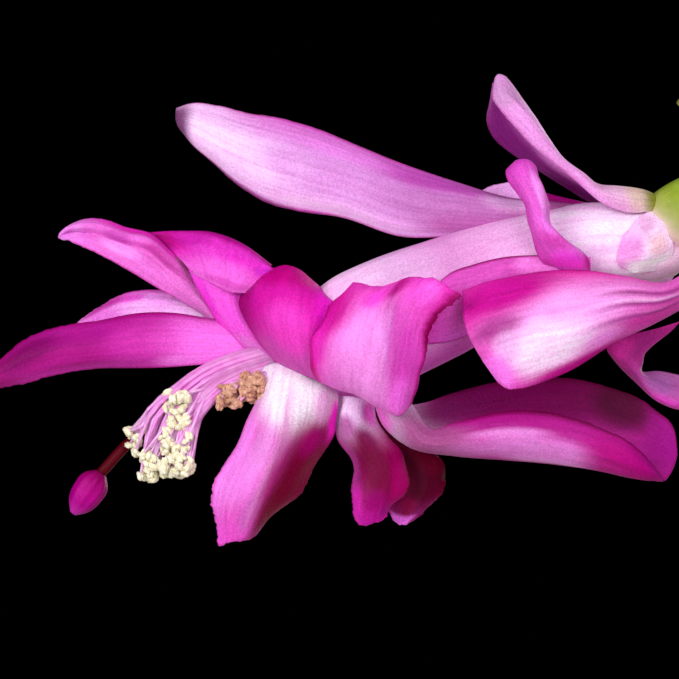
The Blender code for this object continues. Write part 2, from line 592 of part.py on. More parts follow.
def make_petals(name, place, mat, fine):
    pieces = [placed_tube("tube", TUBE, 8 if fine else 5, 12 if fine else 7, place)]
    for tepal in FRONT_TEPALS + REAR_TEPALS:
        if fine:
            pieces.append(blade_mesh(tepal[0], tepal, 6, 4, TEPAL_THICKNESS, place))
        elif tepal[0] not in LARGE_BLOOM_ONLY:
            rows = 4 if tepal[0] in LONG_TEPALS else 3
            pieces.append(blade_mesh(tepal[0], tepal, rows, 2, TEPAL_THICKNESS, place))
    if fine:
        for tepal in SMALL_FRONT_TEPALS + SMALL_REAR_TEPALS:
            pieces.append(blade_mesh(tepal[0], tepal, 5, 2, TEPAL_THICKNESS, place))
    main = pieces[0]
    apply_boolean(main, "UNION", pieces[1:])
    throat = placed_tube("throat", THROAT, 2, 8, place)
    apply_boolean(main, "DIFFERENCE", [throat])
    keep_main_body(main)
    finish_node(main, name, mat)


def make_stamens(name, place, mat, fine):
    pieces = [placed_tube("stalk", STAMEN_STALK, 2, 5, place)]
    ends = FILAMENT_ENDS if fine else FILAMENT_ENDS[:3]
    for i, (x, y, z, bow) in enumerate(ends):
        start = Vector(STAMEN_STALK[3][:3] if i < 6 else STAMEN_STALK[1][:3])
        root = start + Vector((2.4, 0.2, 1.1)) + Vector((0, math.cos(2.4 * i), math.sin(2.4 * i))) * 0.6
        end = Vector((x, y, z))
        middle = (start + end) / 2 + Vector((-0.3, 0, 1.0)) * bow
        stations = [(*root, 0.42), (*middle, 0.4), (*end, 0.42)]
        pieces.append(placed_tube("filament", stations, 2, 3, place))
        heading = (end - middle).normalized()
        across = heading.orthogonal().normalized() * 0.5
        anther = [(*(end - heading * 0.8), 0.6), (*(end + across), 1.25), (*(end + heading * 1.3), 0.6)]
        pieces.append(placed_tube("anther", anther, 2, 4 if fine else 3, place))
    fuse(name, pieces, mat)


def make_pistil(name, place, mat, fine):
    style = placed_tube("style", STYLE, 5 if fine else 3, 4, place)
    stigma = placed_tube("stigma", STIGMA, 4 if fine else 3, 6 if fine else 5, place)
    fuse(name, [style, stigma], mat)


def bud_place(row):
    """Takes a bud's own frame, pointing along +Z from its segment, to the end of its stem."""
    frames, tip = stem_frames(row)
    _, along, side, _, _ = frames[-1]
    turn = Matrix((side.cross(along), side, along)).transposed().to_4x4()
    return Matrix.Translation(tip) @ turn


BUD_OVARY = [(0, 0, -3.0, 1.2), (0, 0, 0.0, 2.0), (0, 0, 3.5, 3.4), (0, 0, 6.5, 3.2)]
BUD = [(0, 0, 6.9, 3.2), (0, 0, 12.0, 4.2), (0, 0, 19.0, 4.4), (0, 0, 27.0, 3.0), (0, 0, 33.0, 0.5)]
# share of the length, distance from the axis, half width, fold
BUD_SCALE = [(0, 2.2, 2.4, 30), (0.4, 4.0, 3.2, 40), (0.8, 4.6, 2.4, 30), (1, 4.9, 0.5, 0)]


def bud_scale(turn, start, length):
    angle = math.radians(turn)
    out = Vector((math.cos(angle), math.sin(angle), 0))
    stations = []
    for s, away, width, fold in BUD_SCALE:
        stations.append((out.x * away, out.y * away, start + length * s, width, fold))
    return ("scale", "face", tuple(-out), 0.85, 0.2, (0.0, 1), stations)


def make_bud(name, place, mat):
    pieces = [placed_tube("bud", BUD, 4, 7, place)]
    for turn, start, length in ((20, 7.4, 11), (140, 7.6, 14), (260, 8.0, 17)):
        pieces.append(blade_mesh("scale", bud_scale(turn, start, length), 2, 2, BUD_SCALE_THICKNESS, place))
    fuse(name, pieces, mat)


def make_stem(row, mat):
    name, end = row[0], row[6]
    frames, _ = stem_frames(row)
    pieces = [root_mesh(stem_foot(row))]
    for i, frame in enumerate(frames + fork_frames(row, frames)):
        pieces.append(segment_mesh("segment_%d" % i, *frame))
    if end == "bloom":
        pieces.append(placed_tube("ovary", OVARY, 4, 7, bloom_place(row)))
    if end == "bud":
        pieces.append(placed_tube("ovary", BUD_OVARY, 2, 7, bud_place(row)))
    fuse(name, pieces, mat)


def main():
    clear_scene()
    clay = plain_material("fired clay", (0.52, 0.2, 0.1), 0.85)
    mix = plain_material("potting mix", (0.035, 0.022, 0.014), 0.95)
    green = plain_material("leafy stem", (0.09, 0.22, 0.02), 0.42)
    pink = plain_material("tepals", (0.8, 0.08, 0.55), 0.45)
    cream = plain_material("stamens", (0.85, 0.62, 0.6), 0.6)
    crimson = plain_material("pistil", (0.45, 0.01, 0.2), 0.4)
    make_pot(clay)
    make_soil(mix)
    for row in STEMS:
        name, end = row[0], row[6]
        make_stem(row, green)
        place_name = name.replace("stem_", "")
        if end == "bloom":
            place = bloom_place(row)
            fine = name == "stem_left"
            make_petals("petals_" + place_name, place, pink, fine)
            make_stamens("stamens_" + place_name, place, cream, fine)
            make_pistil("pistil_" + place_name, place, crimson, fine)
        if end == "bud":
            make_bud("bud_" + place_name, bud_place(row), pink)


main()
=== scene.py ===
import math
import random
from collections import namedtuple

import bpy
import numpy as np
from mathutils import Matrix, Vector, noise


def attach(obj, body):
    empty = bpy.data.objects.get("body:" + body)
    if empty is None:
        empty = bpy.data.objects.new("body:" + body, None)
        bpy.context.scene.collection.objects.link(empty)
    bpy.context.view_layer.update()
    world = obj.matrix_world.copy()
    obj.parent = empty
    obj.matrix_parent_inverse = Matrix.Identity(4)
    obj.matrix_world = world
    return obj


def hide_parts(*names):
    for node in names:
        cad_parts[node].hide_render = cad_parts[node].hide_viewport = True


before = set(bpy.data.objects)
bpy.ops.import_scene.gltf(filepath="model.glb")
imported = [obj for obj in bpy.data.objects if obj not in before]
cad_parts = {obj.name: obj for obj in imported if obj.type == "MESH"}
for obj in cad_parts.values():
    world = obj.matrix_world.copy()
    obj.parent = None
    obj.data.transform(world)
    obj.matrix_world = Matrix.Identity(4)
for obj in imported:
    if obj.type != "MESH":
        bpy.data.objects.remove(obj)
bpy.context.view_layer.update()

# A potted cactus in bloom: living stems, blooms and buds, a fired pot and its potting mix, modelled over
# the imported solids. The bloom at the end of stem_left is the large one; the others follow it, smaller.

MM = 0.001
BODY = "root"
random.seed(7)

# Sizes are in millimetres and angles in degrees, up to the studio, which is in metres.

# clay pot
POT_HEIGHT = 115.0
POT_BASE_RADIUS = 43.0
POT_RIM_RADIUS = 65.0
POT_WALL = 5.0
POT_FLOOR = 6.5
DRAIN_RADIUS = 4.0
DRAIN_CIRCLE = 24.0

# potting mix
SOIL_EDGE = 99.0
SOIL_CROWN = 102.5
# room under the mix
SOIL_GAP = 0.5

# leafy stems: length and half width of each segment from the soil up, and of a forked one
SEGMENT_SIZES = [(30.0, 7.5), (38.0, 10.5), (42.0, 12.0), (41.0, 12.5), (38.0, 12.0), (36.0, 11.5)]
FORK_SIZE = (35.7, 10.2)
# how far a fork turns away and twists, and where it leaves its segment: below the end, and beside the
# midrib as a share of the half width
FORK_SPREAD = 38
FORK_TWIST = 12
FORK_DROP = 0.5
FORK_SEAT = 0.42
RIB_THICKNESS = 3.6
# Azimuth and distance of the root from the middle, tilt of each segment from upright, turn of the azimuth
# at each joint, twist of each segment, what grows at the end, and a fork: the segment that it leaves, its
# side and its tilts.
Stem = namedtuple("Stem", "name azimuth distance tilts turn twists end fork")
STEMS = [Stem(*row) for row in (
    ("stem_left", 180, 10, (4, 10, 24, 62, 118), 0, (8, 20, 35, 62, 84), "bloom", None),
    ("stem_back_right", 62, 12, (6, 14, 34, 66, 98, 112), 3, (0, 12, 18, 10, -8, 6), "bloom", None),
    ("stem_front_right", 304, 12, (5, 14, 34, 70, 102), -2, (0, -14, -20, -12, 8), "bloom", (2, -1, (58,))),
    ("stem_right", 2, 31, (14, 34, 64, 98, 118), 2, (0, 8, 14, -6, 10), "bloom", None),
    ("stem_right_back", 33, 31, (22, 50, 84, 108), 2, (0, -10, 6, 12), "bud", None),
    ("stem_back", 96, 31, (12, 34, 66, 104), 0, (0, 10, -6, 8), "bud", (2, 1, (78,))),
    ("stem_back_left", 128, 31, (24, 58, 94), 0, (0, -8, 10), "leaf", None),
    ("stem_low_left", 158, 30, (34, 72, 104, 124), 3, (0, 8, -8, 6), "leaf", None),
    ("stem_front_left", 207, 30, (34, 70, 104, 126), -2, (0, -8, 6, 10), "bud", None),
    ("stem_front", 243, 31, (18, 46, 82, 112), 2, (0, 10, -8, 6), "bud", None),
    ("stem_front_long", 274, 31, (13, 38, 72, 106), 2, (0, -8, 12, 6), "bloom", (1, 1, (50,))),
    ("stem_right_front", 334, 31, (20, 48, 82), -2, (0, 10, -12), "leaf", None))]

# A bloom's own frame: the tube's base near the origin, the bloom pointing along -X.
# Where the ovary grows from its segment, and the ovary with its shoulder and the tube as x, y, z, radius.
OVARY_FOOT = Vector((9.8, 0.0, 6.8))
OVARY = [(12.6, 0, 8.3, 1.3), (9.8, 0, 6.8, 2.0), (7.3, 0, 4.6, 3.3), (4.5, 0, 2.0, 4.5), (2.6, 0, 0.3, 4.8),
         (1.2, 0, -1.1, 4.75)]
TUBE = [(2.2, 0, -0.2, 4.2), (1.1, 0, -1.2, 4.5), (-2.5, 0, -1.9, 4.9), (-7.0, 0, -1.9, 5.0),
        (-14.0, 0, -3.3, 5.5), (-20.0, 0, -5.8, 6.4), (-25.5, 0, -8.3, 7.1), (-31.0, 0, -10.6, 7.5),
        (-36.0, -0.4, -13.0, 7.5), (-41.5, -0.4, -15.4, 5.6)]
TUBE_WALL = 0.5

# rows of guide points from base to tip, each row from one margin to the other as x, y, z
TEPAL_NETS = {
    "lower_left": [
        (-47.2, -2, -16.8, -45.6, -3, -16.3, -43.2, -3.6, -16.6, -40.8, -3.4, -17.5, -38.3, -2.5, -19),
        (-47.4, -3.6, -19.7, -45.6, -5.5, -18.8, -43, -6.6, -18.6, -40.4, -6.4, -19.2, -38, -5, -20.4),
        (-48.4, -4.6, -22.1, -46.7, -7, -21.6, -44.3, -8.4, -21.8, -41.2, -7, -22.3, -38.3, -4.2, -23),
        (-49.8, -5, -25.2, -48.1, -7.2, -25.2, -46, -8.8, -25.7, -42.4, -6.4, -25.7, -38.9, -3, -25.4),
        (-51.5, -5, -28.2, -49.4, -7.2, -28.6, -46.9, -8.8, -28.8, -43.6, -6, -28.8, -40.7, -2.4, -28.6),
        (-52.9, -4.6, -31.4, -50.5, -6.8, -31.7, -47.6, -8.2, -31.8,
         -44.9, -5.4, -31.7, -42.5, -2.2, -31.4),
        (-53.2, -4.2, -33.6, -50.8, -6.2, -34.1, -47.8, -7.4, -34.1, -46, -5.2, -33.7, -44.3, -2.8, -33.1),
        (-52.6, -3.8, -35.5, -50.8, -5.4, -35.9, -48.4, -6.2, -36, -47.2, -4.8, -35.5, -46, -3.4, -34.8),
        (-52.1, -3, -38, -51, -4.2, -37.6, -49.4, -4.8, -37.3, -48.4, -4.2, -37.1, -47.4, -3.6, -36.2)],
    "long_left": [
        (-44.4, 2, -12.2, -44.8, 1.6, -13.4, -45, 1.2, -14.6, -45.5, 1.2, -15.8, -46, 1.4, -16.8),
        (-48.6, 1, -11.3, -48.8, 0.2, -12.6, -49.1, -0.2, -13.9, -49.3, -0.4, -15.1, -49.8, -0.4, -16.1),
        (-52.8, 0.2, -11, -53, -1, -12.5, -53.3, -1.6, -13.9, -53.6, -1.6, -15.2, -54.1, -1.2, -16.4),
        (-57.6, -0.4, -10.3, -57.7, -2, -12, -57.8, -2.8, -13.7, -58, -2.6, -15.2, -58.2, -1.6, -16.7),
        (-62.4, -1, -10.3, -62.5, -2.8, -12.1, -62.6, -3.6, -13.8, -62.8, -3.2, -15.4, -62.9, -1.8, -16.8),
        (-67.2, -1.6, -11.3, -67.3, -3.2, -12.8, -67.4, -4, -14.3, -67.6, -3.6, -15.7, -67.7, -2.2, -17),
        (-71.6, -2.2, -12, -71.6, -3.6, -13.6, -71.8, -4.2, -14.9, -71.9, -3.8, -16.2, -72, -2.6, -17.6),
        (-75.2, -2.8, -13.2, -75.2, -3.8, -14.6, -75.4, -4.2, -16, -75.5, -3.8, -17.4, -75.6, -3, -18.7),
        (-77.9, -3.4, -15.4, -77.9, -4, -16.4, -78, -4.2, -17.4, -78, -4, -18.4, -78.1, -3.6, -19.2),
        (-80.5, -4, -18.2, -80.5, -4.1, -18.5, -80.6, -4.2, -18.7, -80.6, -4.1, -19, -80.6, -4, -19.2)],
    "upper_left": [
        (-50.8, 2, -10.8, -51, 1.2, -11.5, -51.4, 0.8, -12.2, -51.6, 1, -13, -51.7, 1.8, -13.7),
        (-53.2, 1.6, -8.2, -53.3, 0.6, -9, -53.4, 0.2, -9.7, -53.5, 0.4, -10.4, -53.8, 1.2, -10.9),
        (-56, 1.6, -5, -56, 0.4, -6.2, -56.2, -0.2, -7.4, -56.5, 0.2, -8.4, -56.6, 0.7, -9),
        (-58.2, 1.6, -2.8, -58.3, 0.2, -3.8, -58.7, 0.6, -5, -59.2, 0, -6.2, -59.6, 0.3, -7.3),
        (-60.5, 1.8, -0.7, -60.7, 0.2, -1.8, -61.2, 1.1, -3, -61.8, 0, -4.4, -62.6, 0.1, -5.5),
        (-63.6, 2, 0, -64, 0.6, -1, -64.4, 1.5, -1.9, -65, 0.4, -3.1, -65.8, 0.4, -3.7),
        (-66.7, 2.2, 1.15, -67.1, 1, 0.1, -67.4, 2, -0.8, -67.9, 1, -1.8, -68.5, 0.8, -2.4),
        (-69, 2.4, 1.0, -69.4, 1.2, 0.2, -69.6, 2.6, -0.5, -69.9, 1.4, -1.1, -69.9, 1.2, -1.8),
        (-70.4, 2.6, 0.3, -70.7, 1.6, -0.1, -70.8, 2.7, -0.6, -70.8, 1.7, -1.1, -70.5, 1.6, -1.5),
        (-71.4, 2.6, -0.6, -71.7, 2.4, -0.9, -71.8, 2.5, -1.1, -71.5, 2.2, -1.3, -71, 2.2, -1.45)],
    "top": [
        (-55.3, -1.3, -5.6, -53.9, -2.2, -6.2, -52.4, -3, -7, -50.9, -3.4, -7.7, -49.1, -3.4, -7.9),
        (-56.4, -0.4, -4.4, -54.5, -2, -5.2, -52.3, -3.4, -5.9, -50, -4, -6.7, -47.9, -3.6, -7.2),
        (-57.8, 1.6, -3.1, -55.4, -0.6, -3.7, -52.6, -2.8, -4.6, -49.6, -3.8, -5.5, -46.8, -3.2, -6.2),
        (-59.8, 3.2, -1.4, -56.6, 1, -1.8, -53, -1.4, -2.5, -49.4, -2.8, -3.8, -45.8, -2.8, -5.2),
        (-60.8, 3.6, -0.7, -56.9, 2, -0.6, -52.9, 0.4, -1, -49.4, -0.8, -2.4, -46, -2, -4.8),
        (-60.5, 3.8, -0.8, -56.4, 3, -0.5, -53, 2.2, -0.7, -49.7, 1.2, -2, -46.4, 0.2, -4.3)],
    "throat_flap": [
        (-46.9, 0, -16.3, -46.2, -0.4, -16.6, -45.4, -0.8, -16.8, -44.5, -1.2, -17, -43.6, -1.6, -17.3),
        (-49.9, 0.2, -14.3, -48.7, -0.7, -14.8, -47.4, -1.3, -15.2, -46.1, -1.9, -15.7, -44.6, -2.6, -16.3),
        (-52.1, 0, -12, -50.8, -1, -12.6, -49.3, -1.7, -13.2, -47.8, -2.3, -13.9, -46.1, -2.9, -14.8),
        (-53.6, -0.4, -9.6, -52.3, -1.5, -10.1, -50.9, -2.1, -10.7, -49.4, -2.5, -11.3, -47.6, -2.9, -12.1),
        (-55, -0.9, -7.2, -53.5, -1.9, -7.6, -52, -2.3, -7.9, -50.3, -2.4, -8.4, -48.4, -2.4, -8.9),
        (-56, -0.9, -5, -54.4, -1.9, -5.6, -52.4, -2.2, -6.1, -50.5, -2.1, -6.5, -48.6, -1.7, -6.7)],
    "centre_left": [
        (-45.2, -2.6, -16.6, -44.2, -3.6, -16.8, -42.8, -5, -17.2, -41.2, -6.2, -17.9, -39, -6.6, -19),
        (-46.7, -2.8, -14.6, -45.5, -4.8, -15.2, -43.8, -6.4, -16.1,
         -41.6, -7.8, -16.7, -39.2, -8.4, -17.2),
        (-48.5, -2.8, -12.2, -46.8, -6, -12.7, -44.5, -8.2, -13.2, -41.9, -9.2, -13.8, -39.2, -8.8, -14.4),
        (-49.7, -2.6, -9.7, -47.6, -6.8, -10, -44.9, -9.2, -10.2, -41.9, -9.6, -10.7, -38.8, -8.4, -11.3),
        (-49.7, -2.3, -8.2, -47.4, -6.6, -7.8, -44.5, -8.6, -7.7, -41.6, -8.4, -8.3, -38.4, -6.8, -9.5),
        (-48.6, -1.6, -6.8, -46.4, -4.8, -6.1, -44, -6.2, -5.8, -42.1, -5.6, -6.4, -39.7, -4.2, -7.8),
        (-47.2, -0.4, -5.9, -45.7, -1.8, -5, -44.2, -2.6, -4.7, -42.7, -2.2, -5.2, -41.2, -1.2, -6.5)],
    "centre_fan": [
        (-38.5, -4.6, -17.8, -37.3, -4.8, -18, -35.9, -5, -18.5, -34.4, -5, -19,
         -33.2, -4.8, -19.4, -32, -4.6, -19.9, -30.8, -4.4, -20.4),
        (-40.4, -7.6, -18.4, -38.5, -8.6, -19, -36.6, -9.4, -19.6, -34.7, -9.8, -20.4,
         -32.8, -10, -21.5, -31.1, -9.6, -22.3, -29.5, -8.2, -21.2),
        (-41.3, -10.2, -16.2, -39.2, -11.8, -16.7, -37.2, -13, -17.2, -35.2, -13.6, -17.8,
         -32.9, -13.4, -18.5, -30.7, -11.9, -19.1, -28.8, -9.8, -19.2),
        (-41.2, -11.4, -13.7, -39.1, -13.2, -13.8, -37, -14.6, -14, -34.7, -15.2, -14.4,
         -32.3, -14.2, -15, -30, -12.1, -15.6, -28, -10.2, -16.4),
        (-40.1, -11.6, -11.4, -38.3, -13.4, -11.3, -36.2, -14.6, -11.3, -33.8, -15.2, -11.5,
         -31.6, -13.8, -12, -29.4, -12, -12.6, -27.4, -10.8, -13.2),
        (-38.8, -11, -9.5, -37.3, -12.4, -8.9, -35.5, -13.8, -9, -33.2, -14.6, -9.2,
         -31, -13, -9, -28.4, -12.4, -9.6, -26, -12.2, -10.3),
        (-37.6, -10.6, -8.3, -36.6, -11.8, -7.4, -35.2, -13, -7.6, -33, -13.8, -8,
         -30.6, -12.2, -7.3, -27.7, -13.2, -7.4, -24.5, -13.2, -9),
        (-37, -10, -7.7, -36.2, -11.2, -6.6, -34.6, -12, -7, -32.8, -12.8, -7.2,
         -30, -11.4, -6.2, -27, -13.2, -6.2, -23.5, -13.6, -8.5)],
    "reflexed": [
        (-30.8, -4.6, -19, -32, -6.2, -19.4, -33.7, -4.6, -20.6, -32.8, -2.2, -19.9, -31.6, -0.8, -19.2),
        (-29.4, -6, -20.9, -31.1, -7.4, -22.1, -32.5, -5.5, -23.5, -31.6, -2.5, -22.8, -30.1, -1, -21.1),
        (-27.2, -6.5, -23.9, -28.2, -7.6, -25.2, -29.2, -5.8, -26.2, -28.2, -2.8, -24.2, -27.7, -1.5, -21),
        (-24, -7, -23.2, -24, -8.2, -25.4, -24, -5.8, -27.1, -24, -1.8, -24.2, -24.4, -0.5, -19.9),
        (-18.6, -7.4, -22, -18.6, -8.8, -25, -18.6, -6, -27.5, -18.6, -1.2, -23.6, -18.6, 0.2, -18.5),
        (-12.6, -7.6, -22.1, -12.6, -9, -25.4, -12.6, -6.2, -28, -12.4, -1, -23.6, -12, 0.6, -18),
        (-6.8, -7.4, -24, -6.8, -8.6, -26.6, -6.8, -6.2, -28.9, -6.1, -1.4, -24.8, -5.9, 0.2, -19.1),
        (-2.3, -6.6, -26.6, -2.2, -7.4, -28.3, -2, -5.8, -29.9, -0.8, -2, -26.6, -0.4, -0.6, -21.6),
        (-0.4, -5.6, -28.6, -0.2, -6, -29.4, -0.1, -5, -30.1, 1.3, -2.8, -27.8, 2.3, -1.6, -24.5),
        (0.4, -4.8, -29.5, 0.5, -4.9, -29.9, 0.7, -4.6, -30.2, 1.6, -3.8, -29.4, 2.5, -2.8, -27.2)],
    "throat_wall": [
        (-40.4, 1, -12.2, -40.4, 3.5, -14.6, -40.4, 2, -17.3),
        (-44.5, 0.8, -10.8, -44.5, 2.8, -14, -44.5, 0.6, -17.3),
        (-47.2, 1, -10.3, -47.2, 1.4, -13.7, -47.4, -0.2, -16.9),
        (-49.3, 1.2, -10.6, -49.4, 0.8, -13.6, -49.8, -0.8, -16.3),
        (-51.1, 1.4, -11.6, -51.5, 0.6, -13.7, -52, -0.6, -15.7)],
    "pale_left": [
        (-49.2, 3, -10.8, -49.3, 2.6, -11.6, -49.4, 2.4, -12.5, -49.6, 2.6, -13.2, -49.7, 3, -14),
        (-53.2, 3.4, -9, -53.3, 2.6, -10.1, -53.4, 2.2, -11, -53.5, 2.6, -12, -53.6, 3.2, -13),
        (-57, 3.8, -7.8, -57.1, 2.8, -9, -57.2, 2.4, -10.1, -57.4, 2.8, -11.2, -57.5, 3.6, -12.2),
        (-61.2, 4.4, -7.4, -61.2, 3.4, -8.6, -61.2, 3, -9.7, -61.2, 3.4, -10.8, -61.2, 4.2, -11.9),
        (-64.8, 5, -8.3, -64.8, 4.2, -9.2, -64.8, 3.9, -10.1, -64.8, 4.2, -10.9, -64.7, 4.8, -11.9),
        (-67.6, 5.6, -9.8, -67.4, 5.1, -10.4, -67.4, 5, -11, -67.3, 5.1, -11.5, -67.2, 5.5, -12.2),
        (-69.2, 6, -11, -69.1, 5.8, -11.4, -69, 5.8, -11.8, -68.9, 5.8, -12, -68.8, 6, -12.2),
        (-70.1, 6.2, -11.8, -70.1, 6.2, -11.9, -70, 6.2, -11.9, -70, 6.2, -12, -69.8, 6.2, -12.1)],
    "hanging": [
        (-37.8, -3.6, -20.2, -36.8, -4.4, -20.2, -35.8, -4.6, -20.3,
         -34.7, -4.2, -20.5, -33.7, -3.4, -20.9),
        (-38.2, -3, -22.1, -37.1, -4.6, -22.1, -35.8, -4.8, -22.2, -34.7, -3.8, -22.3, -33.5, -3.2, -22.8),
        (-38.2, -2.4, -25, -36.6, -3.6, -25, -35.2, -4, -25, -33.7, -3.8, -25, -32, -3, -25.1),
        (-36.6, -1.8, -27.6, -35.2, -3.4, -27.5, -33.7, -4, -27.4, -32, -3.6, -27.2, -30.5, -2.4, -26.9),
        (-36.1, -1.6, -30.2, -34.7, -3.6, -30.2, -33, -4.2, -30.1, -31.2, -3.6, -30, -29.6, -1.8, -29.6),
        (-36.5, -2.4, -32.6, -35.3, -3.8, -32.9, -33.6, -4, -32.9, -31.9, -3.4, -32.6, -30.5, -2, -32.3),
        (-36.2, -2.4, -34.2, -35.3, -3.4, -34.6, -34.1, -3.5, -34.6, -32.9, -3, -34.3, -31.7, -2.4, -33.6),
        (-35.5, -2.2, -35.4, -34.8, -2.6, -35.6, -34.1, -2.8, -35.4,
         -33.2, -2.6, -35.2, -32.3, -2.4, -34.7)],
    "behind": [
        (-34.7, 1.5, -21.8, -33.7, 1.2, -21.8, -32.8, 1, -22.1, -31.6, 1, -22.3, -30.6, 1.5, -22.8),
        (-34, 2.2, -25, -32.5, 1.8, -24.7, -30.8, 1.6, -25, -29.2, 2, -25.4, -27.5, 2.6, -26.2),
        (-32.5, 2.6, -27.8, -30.8, 2, -27.8, -28.9, 1.8, -27.8, -27, 2.2, -28.1, -25.4, 3.2, -28.3),
        (-31.6, 2.8, -30.5, -30.1, 2.2, -30.7, -28.4, 2, -31, -26.6, 2.4, -31, -25.1, 3.6, -30.5),
        (-32, 2.6, -32.6, -30.6, 2.2, -33.1, -29, 2, -33.4, -27.6, 2.4, -33.1, -26, 3.2, -32.5),
        (-32, 2.4, -34, -31.1, 2, -34.7, -29.9, 1.9, -35, -28.8, 2, -34.6, -27.5, 2.6, -34),
        (-31.8, 2, -34.6, -31.2, 1.6, -35.3, -30.2, 1.4, -35.8, -29.4, 1.6, -35.4, -28.4, 2, -34.7)],
    "long_top": [
        (-4.2, 0, 2.4, -4.2, -1.8, 1.9, -4.2, -2.2, 1.3, -4.2, -1.8, 0.7, -4.2, 0, 0),
        (-11.4, 0.4, 3, -11.4, -1.6, 2.4, -11.4, -2.2, 1.7, -11.4, -1.8, 0.8, -11.4, 0.2, 0),
        (-17.4, 0.6, 3.6, -17.4, -1.4, 2.6, -17.4, -2.2, 1.8, -17.4, -1.8, 0.7, -17.4, 0, -0.5),
        (-23.4, 0.6, 5.3, -23.4, -1.8, 3.8, -23.6, -2.6, 2.3, -23.9, -2.2, 0.7, -24.1, -0.4, -1),
        (-29.2, 0.8, 7.3, -29.6, -1.8, 5, -30.1, -2.8, 2.9, -30.5, -2.4, 0.8, -30.6, -0.6, -1),
        (-35.2, 1.2, 9.7, -35.9, -1.4, 7.3, -36.6, -2.6, 5, -37.1, -2.2, 3, -37.3, -0.4, 1.1),
        (-41.4, 1.6, 12.1, -42.1, -0.8, 9.6, -42.8, -2, 7, -43.2, -1.6, 4.6, -43.6, 0.2, 2.2),
        (-45, 1.8, 13.2, -45.6, -0.4, 10.4, -46.2, -1.6, 7.8, -46.6, -1.2, 5.4, -46.8, 0.4, 3.2),
        (-48.4, 2, 13.8, -49, 0, 11.4, -49.4, -1.2, 9.1, -49.8, -0.8, 7, -49.7, 0.8, 4.9),
        (-52.8, 2.2, 14.8, -53.3, 0.8, 13.1, -53.6, -0.2, 11.5, -53.8, 0.2, 9.8, -53.3, 1.2, 7.9),
        (-55.6, 2.4, 15, -55.9, 1.4, 13.9, -56.2, 0.8, 12.7, -56.2, 1, 11.5, -55.8, 1.6, 10.2),
        (-57.5, 2.4, 14.4, -57.6, 2.1, 13.9, -57.6, 2, 13.3, -57.5, 2, 12.7, -57.2, 2.2, 12.1)],
    "small_top": [
        (1, -2.6, 2, 0.8, -2.4, 2.6, 0.6, -1.2, 3.4, 0.2, 0.2, 3.4, 0.1, 0.9, 2.9),
        (-0.8, -3.5, 1.8, -1.1, -3.5, 2.8, -1.2, -1.9, 4.2, -1.8, 0.3, 3.6, -1.8, 1.3, 2.8),
        (-4, -4.2, 1.8, -4.2, -4.4, 3, -4.4, -2.4, 4.7, -5.3, 0.4, 3.8, -5.6, 1.6, 2.6),
        (-6.8, -4.8, 2.9, -7, -5, 3.8, -6.7, -2.6, 4.9, -7.6, 0.2, 4.3, -8, 1.4, 3.2),
        (-10, -5.2, 5.6, -9.5, -5.3, 6, -8.8, -2.6, 6.1, -10.1, 0.2, 5.5, -10.6, 1.8, 4.9),
        (-12.8, -5.6, 7.9, -12.1, -5.8, 8, -11.4, -2.8, 8, -13.2, 0.2, 7.4, -14.3, 2, 7.2),
        (-15.2, -5.8, 9.8, -14, -6.2, 10.2, -13, -3, 10.4, -15.5, 0.2, 9.4, -16.9, 2.2, 8.8),
        (-17.3, -5.8, 12.1, -15.8, -6.2, 12.6, -14.4, -3.2, 12.7, -17.3, 0.2, 11.4, -19.2, 2, 10.9),
        (-19, -5.4, 14.2, -17.5, -5.8, 14.8, -16.1, -3.4, 15.1, -18.5, -0.4, 13.9, -20.2, 1.2, 13.3),
        (-19.7, -4.6, 15.6, -18.5, -4.8, 16.3, -17.3, -3.4, 16.8, -18.7, -1.6, 16, -19.9, -0.4, 14.9),
        (-19.4, -3.6, 17.8, -19, -3.6, 18.2, -18.2, -3, 17.9, -18.8, -2.8, 17.5, -19.6, -2.6, 17.2)],
    "front_low": [
        (3.7, -3, -5.3, 4, -4, -6.2, 4.2, -4.2, -7.2, 4.2, -3.8, -8.2, 4.2, -3, -9.1),
        (0.6, -4.6, -6.7, 0.4, -6.6, -7.6, 0.1, -7.2, -8.6, -0.1, -6.6, -10.1, -0.4, -5.4, -11.5),
        (-4, -5, -5.9, -4.2, -8.2, -7.4, -4.6, -9.6, -9.4, -4.9, -9.6, -11.6, -5.3, -8.2, -13.8),
        (-8.6, -5.6, -5.3, -9.1, -9.2, -7.7, -9.7, -11.2, -10.1, -10.2, -11.8, -13, -10.2, -10.4, -16.8),
        (-13.2, -6.2, -5.3, -13.8, -9.8, -7.9, -14.5, -12, -10.8, -14.8, -13, -14.3, -14, -11.6, -18.4),
        (-17.6, -7.2, -6, -18.4, -10, -8.4, -19, -12.2, -11.3, -18.6, -13.4, -14.9, -16.9, -12.2, -19.2),
        (-21, -8.4, -6.8, -21.7, -10.2, -9.1, -21.7, -11.8, -12, -20.6, -12.8, -15.1, -18.4, -12, -19.1),
        (-23.4, -9.4, -7.7, -23.4, -10.4, -10.1, -22.7, -11.2, -13,
         -21.1, -11.8, -15.8, -19.2, -11.4, -18.5)],
    "curled": [
        (-12.4, -2.6, -7.7, -11.2, -3, -7.9, -10, -3.2, -7.9, -8.8, -3.2, -7.7, -7.8, -3, -7.2),
        (-13.1, -4.6, -5.2, -11.8, -5, -5.2, -10.3, -5.2, -5.2, -9, -5.2, -5.2, -8, -5, -5.2),
        (-14.3, -7.2, -3.5, -13, -8.8, -3.2, -11.6, -9.4, -3, -10.3, -9.2, -2.9, -9.1, -7.8, -3.1),
        (-15.1, -8.2, -1.4, -14.2, -9.8, -1.3, -13.2, -10.2, -1.2, -12.1, -9.8, -1.2, -11.3, -8.4, -1.6),
        (-15.5, -8.2, 0.2, -14.8, -9.8, 0.4, -14, -10.2, 0.5, -13.4, -9.4, 0.4, -12.7, -8, 0),
